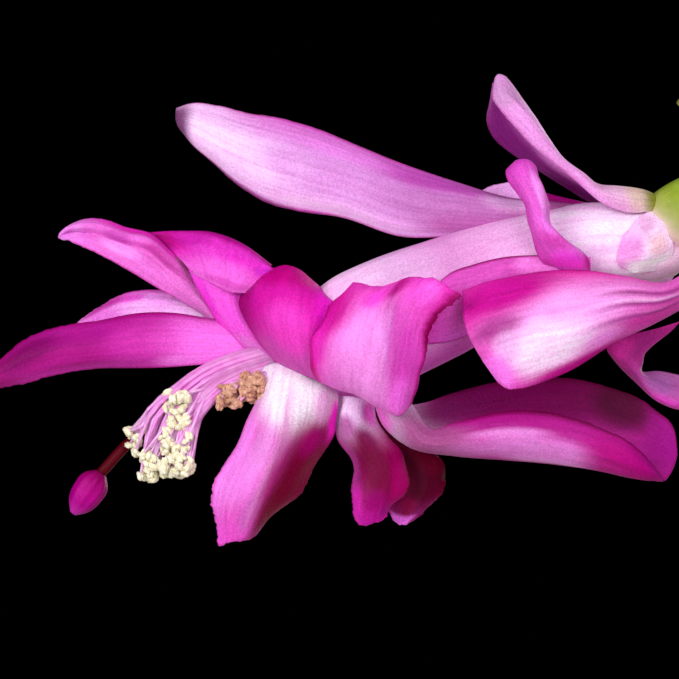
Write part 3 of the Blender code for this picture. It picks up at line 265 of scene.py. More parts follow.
        (-15.8, -7.8, 2.3, -15, -9.2, 2.5, -14.3, -9.4, 2.6, -13.7, -8.6, 2.6, -13.2, -7.4, 2.4),
        (-16.9, -7.2, 3.8, -15.8, -8.6, 4.2, -14.9, -8.8, 4.4, -14, -8, 4.6, -13.6, -6.6, 4.4),
        (-17.8, -6.6, 5.4, -16.8, -8, 5.8, -15.7, -8.2, 6, -14.8, -7.4, 6.2, -14.2, -5.8, 6),
        (-18, -6, 6.6, -17.2, -7.2, 7, -16.2, -7.4, 7.2, -15.2, -6.6, 7.3, -14.6, -5.2, 7),
        (-17.4, -5.4, 7.4, -16.8, -5.8, 7.8, -16.1, -5.8, 7.9, -15.5, -5.4, 7.8, -15, -4.8, 7.4)],
    "low_back": [
        (-6.1, 0.6, -13.2, -4, 0, -13, -1.6, -0.2, -12.6, 0.6, 0, -12, 3, 0.6, -11.3),
        (-5.9, 0.4, -14.2, -4.4, -0.4, -14.4, -2.8, -0.8, -14.3, -0.8, -0.4, -13.7, 1.6, 0.6, -12.7),
        (-5.5, 0.2, -15.1, -4.2, -0.8, -15.6, -3, -1, -15.6, -1.9, -0.8, -15.1, -0.6, 0, -14.4),
        (-4.1, 0.6, -16.8, -3.1, -0.6, -16.9, -2.4, -1, -16.7, -1.8, -0.4, -16.3, -1.4, 0.8, -15.5),
        (-2.2, 0.6, -18.6, -1.9, -0.8, -18.2, -1.8, -1, -18, -1.7, 0.4, -17.5, -1.6, 1.8, -17.2),
        (-0.4, 0.4, -20.3, -0.5, -1, -19.7, -0.4, -0.8, -19, 0, 0.8, -18, 0.4, 2.4, -17.3),
        (1.8, 0.4, -21.6, 1.8, -1.2, -20.9, 1.9, -0.8, -19.9, 2.3, 0.8, -18.7, 2.5, 2.4, -17.6),
        (5.4, 0.6, -22, 5.4, -1, -21.1, 5.4, -0.6, -20.2, 5.4, 1, -18.8, 5.4, 2.4, -18),
        (9, 1, -21.6, 9, 0, -21, 9, 0, -20.4, 9, 0.6, -19.6, 9, 1.4, -18.8),
        (11, 1.4, -20.6, 11, 1.3, -20.5, 11, 1.3, -20.4, 11, 1.4, -20.3, 11, 1.5, -20.2)],
    "back_top": [
        (-1.8, 2.6, 2.8, -1.8, 2, 2.2, -1.8, 1.8, 1.4, -1.8, 2, 0.7, -1.8, 2.6, 0),
        (-7.6, 3.4, 3, -7.6, 2.6, 2.3, -7.6, 2.4, 1.6, -7.6, 2.6, 0.8, -7.6, 3.2, 0),
        (-13.2, 4.2, 4.4, -13.2, 3.2, 3.2, -13.2, 2.8, 2.4, -13.2, 3, 1.4, -13.2, 3.8, 0.5),
        (-17, 5.2, 5.6, -17, 4.2, 4.6, -17, 3.8, 3.5, -16.9, 4, 2.4, -16.8, 4.8, 1.3),
        (-19.6, 6.4, 5.2, -19.4, 5.8, 4.4, -19.3, 5.6, 3.7, -19.2, 5.8, 2.9, -19, 6.4, 1.9),
        (-21, 7.6, 4.3, -20.9, 7.4, 3.8, -20.8, 7.3, 3.4, -20.6, 7.4, 3, -20.4, 7.6, 2.5)]}
# The photograph hides these tepals. Each has the direction of its width, the share of its length from which
# it rounds off, and stations along its middle as x, y, z, half width and fold.
HIDDEN_TEPALS = {
    "back_upper": ((0, 0, 1), 0.9, [
        (-41.0, 4.5, -14.5, 2.4, 15), (-42.0, 8.0, -14.8, 3.4, -5), (-41.5, 11.5, -13.6, 4.4, -20),
        (-38.5, 14.0, -12.6, 4.6, -26), (-34.5, 15.6, -12.2, 3.8, -20), (-30.5, 16.4, -12.2, 0.8, 0)]),
    "back_lower": ((0.85, 0, -0.4), 0.9, [
        (-39.0, 4.0, -17.0, 2.6, 15), (-41.5, 7.5, -19.0, 3.2, -10), (-44.0, 9.5, -23.0, 4.2, -20),
        (-46.2, 10.0, -27.5, 4.4, -24), (-48.0, 9.5, -31.5, 3.2, -20), (-49.4, 9.0, -34.6, 0.6, 0)]),
    "back_low": ((0.2, 0, -0.97), 0.9, [
        (2.0, 3.0, -2.5, 2.2, 20), (-2.0, 7.0, -6.0, 3.6, 5), (-7.0, 10.0, -7.6, 4.8, -12),
        (-12.5, 12.0, -8.6, 5.4, -20), (-17.0, 13.0, -9.0, 4.6, -20), (-21.0, 13.0, -9.0, 1.0, 0)])}
HIDDEN_ROWS = 7
# These lie on the tube, which gives their depth: rows as x, z and how much further back.
TUBE_LAYERS = {
    "lower_layer": [
        (-8.04, -3.6, 0, -8.04, -4.8, 0, -8.04, -6, 0, -8.04, -7.2, 0, -8.04, -8.16, 0),
        (-13.8, -3.36, 0, -13.8, -4.8, 0, -13.8, -6.24, 0, -13.8, -7.68, 0, -13.8, -9.12, 0),
        (-18.6, -3.72, 0, -18.6, -5.4, 0, -18.6, -7.2, 0, -18.6, -9, 0, -18.6, -10.8, 0),
        (-22.2, -4.56, 0, -22.32, -6.48, 0, -22.44, -8.4, 0, -22.56, -10.32, 0, -22.68, -12.96, 0),
        (-24.84, -5.64, 0, -24.96, -7.68, 0, -25.2, -9.6, 0, -25.44, -11.52, 0, -25.44, -13.8, 0),
        (-26.64, -7.2, 0, -27, -8.88, 0, -27.24, -10.56, 0, -27.36, -12.24, 0, -27.36, -14.04, 0),
        (-27.72, -8.64, 0, -28.08, -9.84, 0, -28.44, -11.16, 0, -28.68, -12.6, 0, -28.68, -14.4, 0)],
    "scale": [
        (0.12, 2.16, 0.2, 1.08, 0.72, 0.2, 1.68, -0.96, 0.2, 1.92, -2.64, 0.2, 1.56, -4.56, 0.3),
        (-1.08, 1.8, 0, -0.36, 0.24, -0.1, 0.24, -1.44, -0.2, 0.36, -3.12, -0.1, -0.12, -5.16, 0.1),
        (-2.28, 1.08, -0.1, -1.8, -0.48, -0.3, -1.44, -2.04, -0.4, -1.32, -3.6, -0.3, -1.8, -5.52, 0),
        (-3.24, 0.12, -0.1, -3, -1.08, -0.3, -3, -2.4, -0.4, -3, -3.84, -0.3, -3.12, -5.4, 0),
        (-4.08, -0.96, 0.1, -4.44, -1.8, 0, -4.68, -2.76, 0, -4.8, -3.96, 0, -4.44, -5.04, 0.1)]}
# room between the tube and what lies on it
LAYER_ROOM = 0.35
# the tepals of each tier, and the small ones that only the large bloom has
FRONT_TEPALS = ["lower_left", "long_left", "upper_left", "top", "throat_flap", "centre_left", "centre_fan",
                "reflexed", "back_upper", "back_lower", "throat_wall"]
SMALL_FRONT_TEPALS = ["pale_left", "hanging", "behind"]
REAR_TEPALS = ["long_top", "small_top", "front_low", "back_low"]
SMALL_REAR_TEPALS = ["curled", "low_back", "back_top", "scale", "lower_layer"]
LARGE_BLOOM_ONLY = ("upper_left", "back_low")

STYLE = [(-36.0, 1.5, -13.2, 0.65), (-43.0, 1.3, -16.4, 0.65), (-50.0, 1.6, -19.4, 0.65),
         (-57.0, 1.4, -22.4, 0.65), (-62.5, 0.8, -25.3, 0.65), (-67.0, 0.2, -30.0, 0.65)]
STIGMA = [(-66.5, 0.2, -29.5, 0.7), (-67.0, 0.1, -30.2, 1.5), (-68.1, 0.0, -31.8, 1.8),
          (-69.3, -0.1, -33.5, 1.2), (-69.9, -0.1, -34.3, 0.35)]
# how far each bloom is rolled about its length, its size, and whether it is a mirror image
BLOOM_LOOKS = {
    "stem_left": (0, 1.0, False),
    "stem_back_right": (25, 0.9, True),
    "stem_front_right": (-20, 0.92, False),
    "stem_right": (12, 0.86, True),
    "stem_front_long": (16, 0.8, True)}

# a bud stands upright in its own frame
BUD_OVARY = [(0, 0, -3.0, 1.2), (0, 0, 0.0, 2.0), (0, 0, 3.5, 3.4), (0, 0, 6.5, 3.2)]
BUD = [(0, 0, 6.9, 3.2), (0, 0, 12.0, 4.2), (0, 0, 19.0, 4.4), (0, 0, 27.0, 3.0), (0, 0, 33.0, 0.5)]
# share of the length, distance from the axis, half width, fold
BUD_SCALE = [(0, 2.2, 2.4, 30), (0.4, 4.0, 3.2, 40), (0.8, 4.6, 2.4, 30), (1, 4.9, 0.5, 0)]
# place round the bud, height of the foot, length
BUD_SCALES = [(20, 7.4, 11), (140, 7.6, 14), (260, 8.0, 17)]

# Fine detail that the solids leave out

# thickness of a tepal along its middle, and of two thin ones and a bud's scale
TEPAL_FLESH = 0.42
THIN = {"scale": 0.16, "throat_flap": 0.2}
BUD_SCALE_FLESH = 0.5
# how much thinner a margin is, and the share of the thickness that the tip keeps
MARGIN_THINNING = 0.72
TIP_FLESH = 0.3
# rows and columns of a tepal's grid and of the tube's, on the large bloom and on the others
LARGE_BLADE, SMALL_BLADE = (96, 28), (28, 12)
LARGE_TUBE, SMALL_TUBE = (48, 40), (24, 20)
# depth of the shallow folds along a tepal, and of those of some
FLUTE_DEPTH = 0.06
FLUTES = {"upper_left": 0.12, "pale_left": 0.12, "centre_fan": 0.16, "hanging": 0.08, "scale": 0.08,
          "throat_wall": 0.1, "front_low": 0.1, "throat_flap": 0.05}
# how deep a margin ripples, and how many times in the tepal's length
RUFFLE = (0.12, 3)
RUFFLES = {"lower_left": (0.3, 3), "centre_fan": (0.25, 4), "top": (0.15, 3), "hanging": (0.3, 3),
           "behind": (0.3, 3), "upper_left": (0.1, 3), "curled": (0.15, 4), "scale": (0.12, 2),
           "lower_layer": (0.0, 1), "throat_wall": (0.0, 1), "throat_flap": (0.0, 1), "front_low": (0.05, 2)}
# how torn a margin is, as a share of the half width
TORN = 0.03
RAGGED = {"long_left": 0.05, "lower_left": 0.06, "hanging": 0.07, "behind": 0.1, "long_top": 0.015,
          "pale_left": 0.08, "front_low": 0.006, "small_top": 0.01, "curled": 0.01, "reflexed": 0.015,
          "scale": 0.0, "lower_layer": 0.0, "throat_wall": 0.0, "throat_flap": 0.0}
# each tepal's colours: base, middle, left margin, right margin, tip; some of them are painted shade or
# painted highlight, as noted above their rows
TEPAL_TONES_AND_PAINTED_LIGHT = {
    # lower_left: the dark right margin is painted shade, and the white base is partly painted sheen
    "lower_left": ("#F8F0FE", "#DA6CC0", "#F684E6", "#A20664", "#F060D8"),
    # long_left: the dark tip is painted shade
    "long_left": ("#FFA0F8", "#C834AC", "#A8188A", "#C444AE", "#8A0860"),
    "upper_left": ("#DE84D0", "#E47ED4", "#E04CC4", "#E47ED4", "#EE99EE"),
    "top": ("#EC7CDC", "#E044C8", "#D420B0", "#E63CCE", "#BC1098"),
    # throat_flap: the darker right margin is partly painted shadow cast by centre_left
    "throat_flap": ("#D87CCC", "#F274E0", "#EA3CCA", "#C43CA8", "#F060DE"),
    # centre_left: the dark left margin is painted shade
    "centre_left": ("#D064BC", "#D626AE", "#B40E8A", "#E41CBC", "#C2028C"),
    "centre_fan": ("#F488E6", "#F4A0EC", "#E82CBE", "#F43CCB", "#DC2CB4"),
    # reflexed: the greyish base and the dark right margin are painted shade
    "reflexed": ("#CDB0CE", "#C23CA2", "#B42494", "#88045E", "#A8148C"),
    "back_upper": ("#F3C6F0", "#E56FD4", "#DE3AC2", "#DE3AC2", "#D832B8"),
    "back_lower": ("#F9DCF7", "#E67DD8", "#D93BBE", "#D93BBE", "#D233B2"),
    "pale_left": ("#FBD8FB", "#FABEF9", "#D650C0", "#FBC4F9", "#DC8CD0"),
    # hanging: the white base is partly a painted highlight, and the deep middle is partly painted shade
    "hanging": ("#E8C8EE", "#8C0854", "#B44B9E", "#C0047E", "#D728BB"),
    # behind: its deep tones are partly its own crimson and partly painted shadow cast by hanging
    "behind": ("#980050", "#6C0038", "#8A0446", "#7A003C", "#B43C96"),
    # long_top: the pale lower margin and tip are partly painted sheen
    "long_top": ("#C878B8", "#D89CDA", "#DC74D0", "#F8C8F8", "#F8D8FA"),
    # small_top: the dark right margin is painted shade on the far half
    "small_top": ("#E4C4D4", "#F0ACEA", "#E8A4E2", "#8C2C84", "#E0A8DE"),
    # front_low: the pale middle is partly painted sheen
    "front_low": ("#D86AC0", "#F8B0F0", "#D628A4", "#E254BC", "#DA50B8"),
    "back_low": ("#F8D0F4", "#EC96E2", "#D24DBB", "#D24DBB", "#D24DBB"),
    "curled": ("#EA5CDA", "#E070D2", "#D454C0", "#F896F0", "#DA50C8"),
    "low_back": ("#CC3CA6", "#B464AA", "#D444AE", "#C888C4", "#C878BC"),
    # back_top: the dark base is painted shadow cast by small_top
    "back_top": ("#A83490", "#F6B8F4", "#F8BCF6", "#F4B0F0", "#FABCF8"),
    "throat_wall": ("#EC8CDC", "#FC94F0", "#F07FE2", "#FC94EE", "#F890EA"),
    "scale": ("#FFD8F4", "#FFDCFC", "#F4C0EE", "#FFF2FF", "#F4A0E8"),
    "lower_layer": ("#FA94EC", "#E068CC", "#D45EBC", "#FF84FA", "#F458D6"),
}
# softer patches: place along and across, reach along and across, colour, strength; many are painted shade or
# painted highlights, as noted above their rows
TEPAL_PATCHES_AND_PAINTED_LIGHT = {
    # lower_left: the dark marks on the right half are painted shade; the white top and the pale left side are
    # partly painted sheen
    "lower_left": [(0.2, 0.0, 0.2, 0.6, "#FCF2FF", 1.0), (0.55, -0.88, 0.24, 0.26, "#FE9CF8", 0.8),
                   (0.8, -0.12, 0.12, 0.16, "#CB74C2", 0.8), (0.66, 0.54, 0.3, 0.48, "#94044C", 1.0),
                   (0.8, 0.44, 0.16, 0.36, "#900046", 0.8), (0.32, 0.94, 0.14, 0.14, "#FF34D8", 1.0),
                   (0.46, 0.55, 0.08, 0.24, "#BA1088", 0.8), (0.5, -0.08, 0.32, 0.09, "#D490C4", 0.7),
                   (0.64, 0.08, 0.12, 0.12, "#C42894", 0.6), (0.52, -0.36, 0.12, 0.2, "#E8A2E4", 0.8),
                   (0.66, -0.5, 0.12, 0.3, "#EC92E6", 0.8), (0.24, 0.62, 0.1, 0.2, "#F0B4E6", 0.8)],
    # long_left: the dark marks toward the tip are painted shade
    "long_left": [(0.82, -0.2, 0.12, 0.5, "#86086A", 0.9), (0.66, -0.2, 0.1, 0.4, "#A81C8C", 0.8),
                  (0.7, 0.4, 0.14, 0.4, "#B01E8A", 0.7),
                  (0.28, 0.0, 0.13, 0.8, "#F280E4", 0.8), (0.44, 0.0, 0.1, 0.7, "#D048B6", 0.6),
                  (0.28, 0.75, 0.12, 0.22, "#FA98F0", 0.8), (0.5, -1.0, 0.3, 0.16, "#B0188C", 0.9)],
    # upper_left: the dark marks along the groove are partly painted crease shade, and the pale patch beside
    # it is a painted sheen
    "upper_left": [(0.5, -0.85, 0.3, 0.2, "#E034BC", 0.9), (0.7, -0.28, 0.07, 0.2, "#C456B6", 0.9),
                   (0.5, -0.3, 0.1, 0.16, "#CC4CAE", 0.9), (0.37, -0.2, 0.12, 0.2, "#C85AB0", 0.9),
                   (0.67, 0.32, 0.1, 0.28, "#FEB4FA", 0.8), (0.59, -0.5, 0.05, 0.2, "#E87ED8", 0.7),
                   (0.9, 0.1, 0.03, 0.5, "#F4B4F2", 0.7)],
    # top: the dark mark near the left margin is painted shade
    "top": [(0.2, 0.2, 0.2, 0.6, "#EA74DA", 0.8), (0.62, -0.8, 0.2, 0.3, "#B40C86", 0.9),
            (0.62, -0.36, 0.14, 0.3, "#C42AAC", 0.8),
            (0.42, 0.9, 0.12, 0.14, "#CC34CE", 0.7), (0.46, -0.1, 0.1, 0.3, "#E45AD2", 0.6),
            (0.86, 0.3, 0.14, 0.9, "#BE1298", 0.8), (0.08, 0.2, 0.05, 0.7, "#D454BE", 0.6)],
    # throat_flap: the dark marks near the right margin are painted shadow cast by centre_left
    "throat_flap": [(0.62, 0.0, 0.24, 0.4, "#F468E2", 0.8), (0.8, 0.62, 0.2, 0.26, "#BC3CA8", 0.9),
                    (0.3, 0.2, 0.16, 0.6, "#E08CD6", 0.8), (0.48, 0.9, 0.2, 0.3, "#B82C94", 0.9),
                    (0.75, -0.7, 0.2, 0.2, "#F24CDE", 0.8), (0.1, 0.5, 0.1, 0.6, "#D478C4", 0.7)],
    # centre_left: the dark mark at the left margin is painted shade
    "centre_left": [(0.4, 0.2, 0.14, 0.4, "#EE54D0", 0.8), (0.16, 0.0, 0.12, 0.8, "#CE5CB6", 0.8),
                    (0.62, 0.86, 0.2, 0.2, "#F42CD8", 0.8), (0.6, -0.82, 0.26, 0.3, "#AA0A80", 0.9),
                    (0.82, 0.1, 0.14, 0.8, "#CC0490", 0.9), (0.3, 0.3, 0.1, 0.4, "#E84CC4", 0.7)],
    # centre_fan: the dark marks along the right margin are painted shade, and the bright patch near the top
    # right is a painted highlight
    "centre_fan": [(0.48, -0.1, 0.3, 0.4, "#F49CE8", 0.6), (0.6, 0.6, 0.24, 0.26, "#E858D0", 0.9),
                   (0.8, -0.85, 0.14, 0.36, "#D21CA2", 0.9), (0.9, -0.2, 0.06, 0.16, "#F450D6", 0.8),
                   (0.95, 0.08, 0.05, 0.16, "#B4188A", 0.9),
                   (0.95, 0.5, 0.06, 0.16, "#E254CA", 0.9),
                   (0.81, 1.0, 0.14, 0.12, "#AC0076", 1.0), (0.7, 0.24, 0.12, 0.18, "#FFA8FC", 0.7),
                   (0.4, -1.0, 0.18, 0.12, "#D4209E", 1.0), (0.38, 0.66, 0.12, 0.24, "#FF80F0", 0.8),
                   (0.62, -0.9, 0.16, 0.2, "#EC34C4", 0.8), (0.45, 0.98, 0.2, 0.06, "#D044B4", 0.8),
                   (0.72, 0.36, 0.2, 0.12, "#F268DA", 0.8),
                   (0.93, 0.62, 0.05, 0.16, "#F878E8", 0.8), (0.97, 0.96, 0.06, 0.1, "#A81878", 0.9)],
    "pale_left": [(0.8, -0.62, 0.14, 0.3, "#C034A2", 0.9), (0.64, -0.52, 0.08, 0.24, "#E658D4", 0.8),
                  (0.48, -0.42, 0.08, 0.3, "#FFB4FF", 0.7),
                  (0.84, 0.3, 0.16, 0.8, "#E878DE", 0.8)],
    # hanging: the white spot near the base is a painted highlight, the light mark at the base's right is
    # painted light, and the dark middle is partly painted shade
    "hanging": [(0.07, -0.45, 0.07, 0.4, "#F0D4F4", 1.0), (0.22, -0.4, 0.08, 0.3, "#C070B4", 0.8),
                (0.1, 0.62, 0.1, 0.3, "#E868D0", 0.9), (0.33, 0.1, 0.1, 0.3, "#840A5A", 0.9),
                (0.52, -0.12, 0.2, 0.4, "#7E0048", 0.9), (0.84, -0.72, 0.14, 0.26, "#D838BA", 0.9),
                (0.68, 0.62, 0.16, 0.28, "#CA0488", 0.9), (0.8, -0.1, 0.08, 0.3, "#A0027A", 0.8)],
    # behind: the dark mark is painted shadow cast by hanging
    "behind": [(0.44, 0.5, 0.12, 0.5, "#880040", 0.8), (0.84, -0.2, 0.08, 0.3, "#A00A5C", 0.8),
               (0.97, -0.3, 0.05, 0.7, "#FF8DFF", 0.9)],
    # reflexed: the dark marks on the right half are painted shade
    "reflexed": [(0.24, -0.66, 0.14, 0.4, "#AC5C94", 0.9), (0.6, -0.5, 0.26, 0.18, "#E494DE", 0.9),
                 (0.58, 0.8, 0.3, 0.36, "#860464", 1.0), (0.33, 0.8, 0.14, 0.3, "#961C7A", 0.8),
                 (0.84, 0.8, 0.08, 0.3, "#60023E", 0.9), (0.42, -1.0, 0.12, 0.1, "#C222A0", 0.8),
                 (0.86, -0.55, 0.12, 0.4, "#BA0E8C", 0.9), (0.96, 0.5, 0.05, 0.5, "#A2188E", 0.8),
                 (0.5, -0.72, 0.12, 0.06, "#EEA8EA", 0.7), (0.62, -0.3, 0.12, 0.05, "#F0B4EE", 0.7),
                 (0.62, -1.0, 0.24, 0.05, "#8C0A66", 0.9), (0.06, -0.1, 0.06, 0.3, "#E468CC", 0.8)],
    # long_top: the pale marks at the tip, along the lower margin and near the base are painted sheen; the
    # dark rim at the tip and the dark lower edge are painted shade
    "long_top": [(0.86, 0.15, 0.16, 0.55, "#F8D4FA", 0.9), (0.6, 0.8, 0.2, 0.22, "#FFD2FF", 0.9),
                 (0.66, 1.0, 0.05, 0.1, "#F47CE8", 0.8), (0.84, 1.0, 0.17, 0.12, "#A0509A", 0.9),
                 (0.42, -0.62, 0.14, 0.3, "#C25ABA", 0.9), (0.38, 0.1, 0.14, 0.36, "#C07EBC", 0.8),
                 (0.32, 0.52, 0.1, 0.3, "#C474B8", 0.8), (0.6, -0.6, 0.1, 0.2, "#EC92E8", 0.6),
                 (0.995, 0.3, 0.036, 1.3, "#6E2C64", 0.9), (0.23, -0.4, 0.06, 0.36, "#FFD0FF", 0.9),
                 (0.72, 0.0, 0.07, 0.3, "#DAA2DC", 0.7)],
    # small_top: the dark marks on the right half are painted shade
    "small_top": [(0.6, 0.68, 0.5, 0.4, "#8C2C84", 1.0), (0.91, -0.72, 0.08, 0.4, "#C898C6", 0.8),
                  (0.0, -0.5, 0.1, 2.4, "#8E9438", 1.0), (0.36, 0.9, 0.16, 0.2, "#74286C", 0.8),
                  (0.14, 0.0, 0.05, 1.0, "#D8C0A8", 0.6)],
    # front_low: the white patch on the right half is a painted sheen
    "front_low": [(0.87, -0.62, 0.2, 0.45, "#CE20A2", 1.0), (0.87, 0.04, 0.1, 0.2, "#B04A98", 0.9),
                  (0.66, 0.52, 0.2, 0.38, "#FFDCFD", 1.0), (0.84, 0.34, 0.06, 0.2, "#E6B8E6", 0.8),
                  (0.2, 0.5, 0.14, 0.4, "#EC50C4", 0.9), (0.56, 0.96, 0.2, 0.12, "#C02496", 1.0),
                  (0.41, 0.7, 0.07, 0.16, "#FCA0F4", 0.7),
                  (0.94, 0.72, 0.1, 0.3, "#FF8EF2", 0.9), (0.22, -0.18, 0.2, 0.06, "#A0368A", 0.9),
                  (0.24, 0.12, 0.2, 0.06, "#A43C94", 0.9), (0.26, 0.4, 0.2, 0.05, "#B04AA0", 0.8),
                  (0.24, -0.03, 0.2, 0.05, "#F8C4F0", 0.8), (0.26, 0.26, 0.2, 0.05, "#EE9CE0", 0.7)],
    "low_back": [(0.42, 0.1, 0.1, 0.5, "#B070B4", 0.8), (0.1, 0.3, 0.1, 0.4, "#AE3090", 0.8),
                 (0.12, -0.5, 0.1, 0.3, "#EC50C2", 0.8), (0.5, -0.7, 0.1, 0.3, "#FC58E0", 0.6)],
    # back_top: the dark mark is painted shadow cast by small_top
    "back_top": [(0.45, -0.7, 0.2, 0.5, "#A80C84", 1.0)],
    "curled": [(0.72, 0.24, 0.14, 0.22, "#FEA8FC", 0.9), (0.46, 0.1, 0.07, 0.4, "#D04EB6", 0.8),
               (0.28, 0.1, 0.1, 0.6, "#FC64F2", 0.9), (0.26, 0.96, 0.1, 0.2, "#C83CA6", 0.9),
               (0.56, 0.24, 0.07, 0.26, "#FA94F6", 0.7)],
    "lower_layer": [(0.33, -0.75, 0.1, 0.4, "#FC96EA", 0.8), (0.55, -1.0, 0.36, 0.05, "#A81C86", 0.9)],
    # scale: the white mark is a painted highlight along its ridge
    "scale": [(0.75, -0.1, 0.2, 0.5, "#EE98E0", 0.8), (0.4, -0.6, 0.16, 0.3, "#E8B0DC", 0.7),
              (0.3, 0.1, 0.16, 0.3, "#F4C4CC", 0.7), (0.45, 0.62, 0.3, 0.16, "#FFF8FF", 1.0)],
}
# how strongly the rim's tone shows along a margin, and along the paler ones
RIM_TONE = "#C83CA8"
RIM_DEPTH = 0.7
SOFT_RIMS = {"scale": 0.0, "front_low": 0.2, "throat_flap": 0.5, "small_top": 0.4, "lower_left": 0.5}
# more than 1 deepens the dark tones and leaves the pale ones
DEEPEN = 1.2
# tones from one end of a piece to the other
TUBE_TONES = ("#FFC8E4", "#FFDAFF", "#FFD8FF", "#F2B4EA", "#D28AC8", "#DEAEDC", "#F8C8F4", "#F0A8E4")
TUBE_UNDER_TONE = "#FF58E8"
FILAMENT_TONES = ("#EEA0E2", "#F09CE2", "#F090E0", "#EE98E2", "#F0C0EC")
STYLE_TONES = ("#7A0C34", "#6A0624", "#5A0216", "#500210")
STIGMA_TONES = ("#7C0048", "#98006C", "#AA0080", "#A0007C", "#B828A0")
BUD_TONES = ("#F1D9EA", "#EFA9DF", "#E765CE", "#DB2FB6", "#C21A9C")
BUD_SCALE_TONES = ("#EFCFE4", "#E98FD8", "#D94CBE", "#D94CBE", "#CB2FA8")
# age, how many, middle of the bunch, how far it spreads each way, and the part of the bundle it
# hangs from, where 0 is the upper edge and 1 the lower
STAMEN_CLUSTERS = [
    ("cream", 13, (-62.5, -1.9, -25.4), (0.8, 0.8, 1.7), (0.0, 0.15)),
    ("cream", 8, (-60.6, -1.9, -23.8), (1.0, 0.8, 0.5), (0.05, 0.3)),
    ("cream", 54, (-57.4, -4.0, -22.0), (1.4, 1.1, 2.3), (0.25, 0.8)),
    ("cream", 112, (-57.3, -3.8, -27.2), (1.8, 1.6, 2.6), (0.4, 1.0)),
    ("cream", 34, (-60.7, -3.2, -28.5), (1.0, 1.0, 1.7), (0.15, 0.6)),
    ("old", 38, (-51.0, -3.8, -20.3), (1.2, 1.1, 1.3), (0.95, 1.0)),
    ("old", 54, (-48.3, -3.8, -19.0), (1.4, 1.1, 1.7), (0.95, 1.0))]
# the small blooms have a sixth of the stamens, with larger anthers
SMALL_BLOOM_SHARE = 6
SMALL_BLOOM_ANTHER = 1.5
# half the width, depth and length of an anther
ANTHER_SIZE = (0.52, 0.42, 0.78)
# the bundle's upper and lower edges as x, z
BUNDLE_TOP = [(-41.0, -13.0), (-47.0, -14.3), (-51.0, -15.4), (-54.6, -16.9), (-57.4, -18.9),
              (-60.6, -21.6), (-62.6, -23.6)]
BUNDLE_LOW = [(-40.0, -15.6), (-45.0, -16.8), (-49.0, -18.2), (-51.8, -19.8), (-53.9, -22.0),
              (-55.4, -24.2), (-56.4, -26.0)]


# Hand tools: select, apply, join, copy

def deselect_all():
    bpy.ops.object.select_all(action="DESELECT")


def make_active(obj):
    deselect_all()
    obj.select_set(True)
    bpy.context.view_layer.objects.active = obj


def apply_modifier(obj, kind, **settings):
    make_active(obj)
    modifier = obj.modifiers.new(kind.lower(), kind)
    for key, value in settings.items():
        setattr(modifier, key, value)
    bpy.ops.object.modifier_apply(modifier=modifier.name)


def join(name, pieces):
    """Joins finished pieces into one object that sits at the origin."""
    make_active(pieces[0])
    for piece in pieces[1:]:
        piece.select_set(True)
    if len(pieces) > 1:
        bpy.ops.object.join()
    whole = bpy.context.view_layer.objects.active
    whole.name = name
    whole.data.name = name
    return whole


def copies(source, places):
    """A copy of one modelled piece at each place, every copy with its own mesh; the source goes."""
    made = []
    for place in places:
        copy = source.copy()
        copy.data = source.data.copy()
        bpy.context.scene.collection.objects.link(copy)
        copy.data.transform(place)
        if place.determinant() < 0:
            copy.data.flip_normals()
        made.append(copy)
    bpy.data.objects.remove(source, do_unlink=True)
    return made


def points_of(mesh):
    flat = np.empty(len(mesh.vertices) * 3)
    mesh.vertices.foreach_get("co", flat)
    return flat.reshape(-1, 3)


def set_points(mesh, points):
    mesh.vertices.foreach_set("co", np.ascontiguousarray(points, dtype=np.float32).ravel())
    mesh.update()


def paint(mesh, colours):
    """Writes one linear colour per point, which the tissue materials read."""
    layer = mesh.color_attributes.new("tissue", "FLOAT_COLOR", "POINT")
    rows = np.ones((len(mesh.vertices), 4), np.float32)
    rows[:, :3] = colours
    layer.data.foreach_set("color", rows.ravel())


def finish_piece(piece, mat, slot, *nodes):
    piece.data.materials.clear()
    piece.data.materials.append(mat)
    piece.data.shade_smooth()
    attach(piece, BODY)
    if nodes:
        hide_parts(*nodes)


# Curves and surfaces

def unit(vectors):
    """The same directions, with a length of one."""
    length = np.linalg.norm(vectors, axis=-1, keepdims=True)
    return vectors / np.maximum(length, 1e-9)


def smooth_step(low, high, x):
    """0 up to low, 1 from high on, and smooth between; low may also be the larger."""
    s = np.clip((x - low) / (high - low), 0, 1)
    return s * s * (3 - 2 * s)


def wobble(x, seed):
    """A smooth uneven wave between about -1 and 1."""
    return (np.sin(x + seed) + np.sin(2.3 * x + 2.1 * seed) + np.sin(4.1 * x + 3.7 * seed)) / 2.2


def to_linear(hex_colour):
    """The linear colour of an sRGB hex value."""
    parts = [int(hex_colour[i:i + 2], 16) / 255 for i in (1, 3, 5)]
    return np.array([c / 12.92 if c <= 0.04045 else ((c + 0.055) / 1.055) ** 2.4 for c in parts])


def spline(stations, t):
    """A smooth curve through the rows of stations, read at t from 0 to 1."""
    rows = np.asarray(stations, float)
    steps = np.linalg.norm(np.diff(rows[:, :3], axis=0), axis=1)
    knots = np.concatenate([[0], np.cumsum(steps)]) / steps.sum()
    slopes = np.diff(rows, axis=0) / np.diff(knots)[:, None]
    before = np.diff(knots)[:-1, None]
    after = np.diff(knots)[1:, None]
    middle = (slopes[:-1] * after + slopes[1:] * before) / (before + after)
    slope = np.concatenate([slopes[:1], middle, slopes[-1:]])
    t = np.clip(np.asarray(t, float), 0, 1)
    i = np.clip(np.searchsorted(knots, t, side="right") - 1, 0, len(rows) - 2)
    h = (knots[i + 1] - knots[i])[:, None]
    s = (t - knots[i])[:, None] / h
    start = (2 * s**3 - 3 * s**2 + 1) * rows[i] + (s**3 - 2 * s**2 + s) * h * slope[i]
    end = (3 * s**2 - 2 * s**3) * rows[i + 1] + (s**3 - s**2) * h * slope[i + 1]
    return start + end


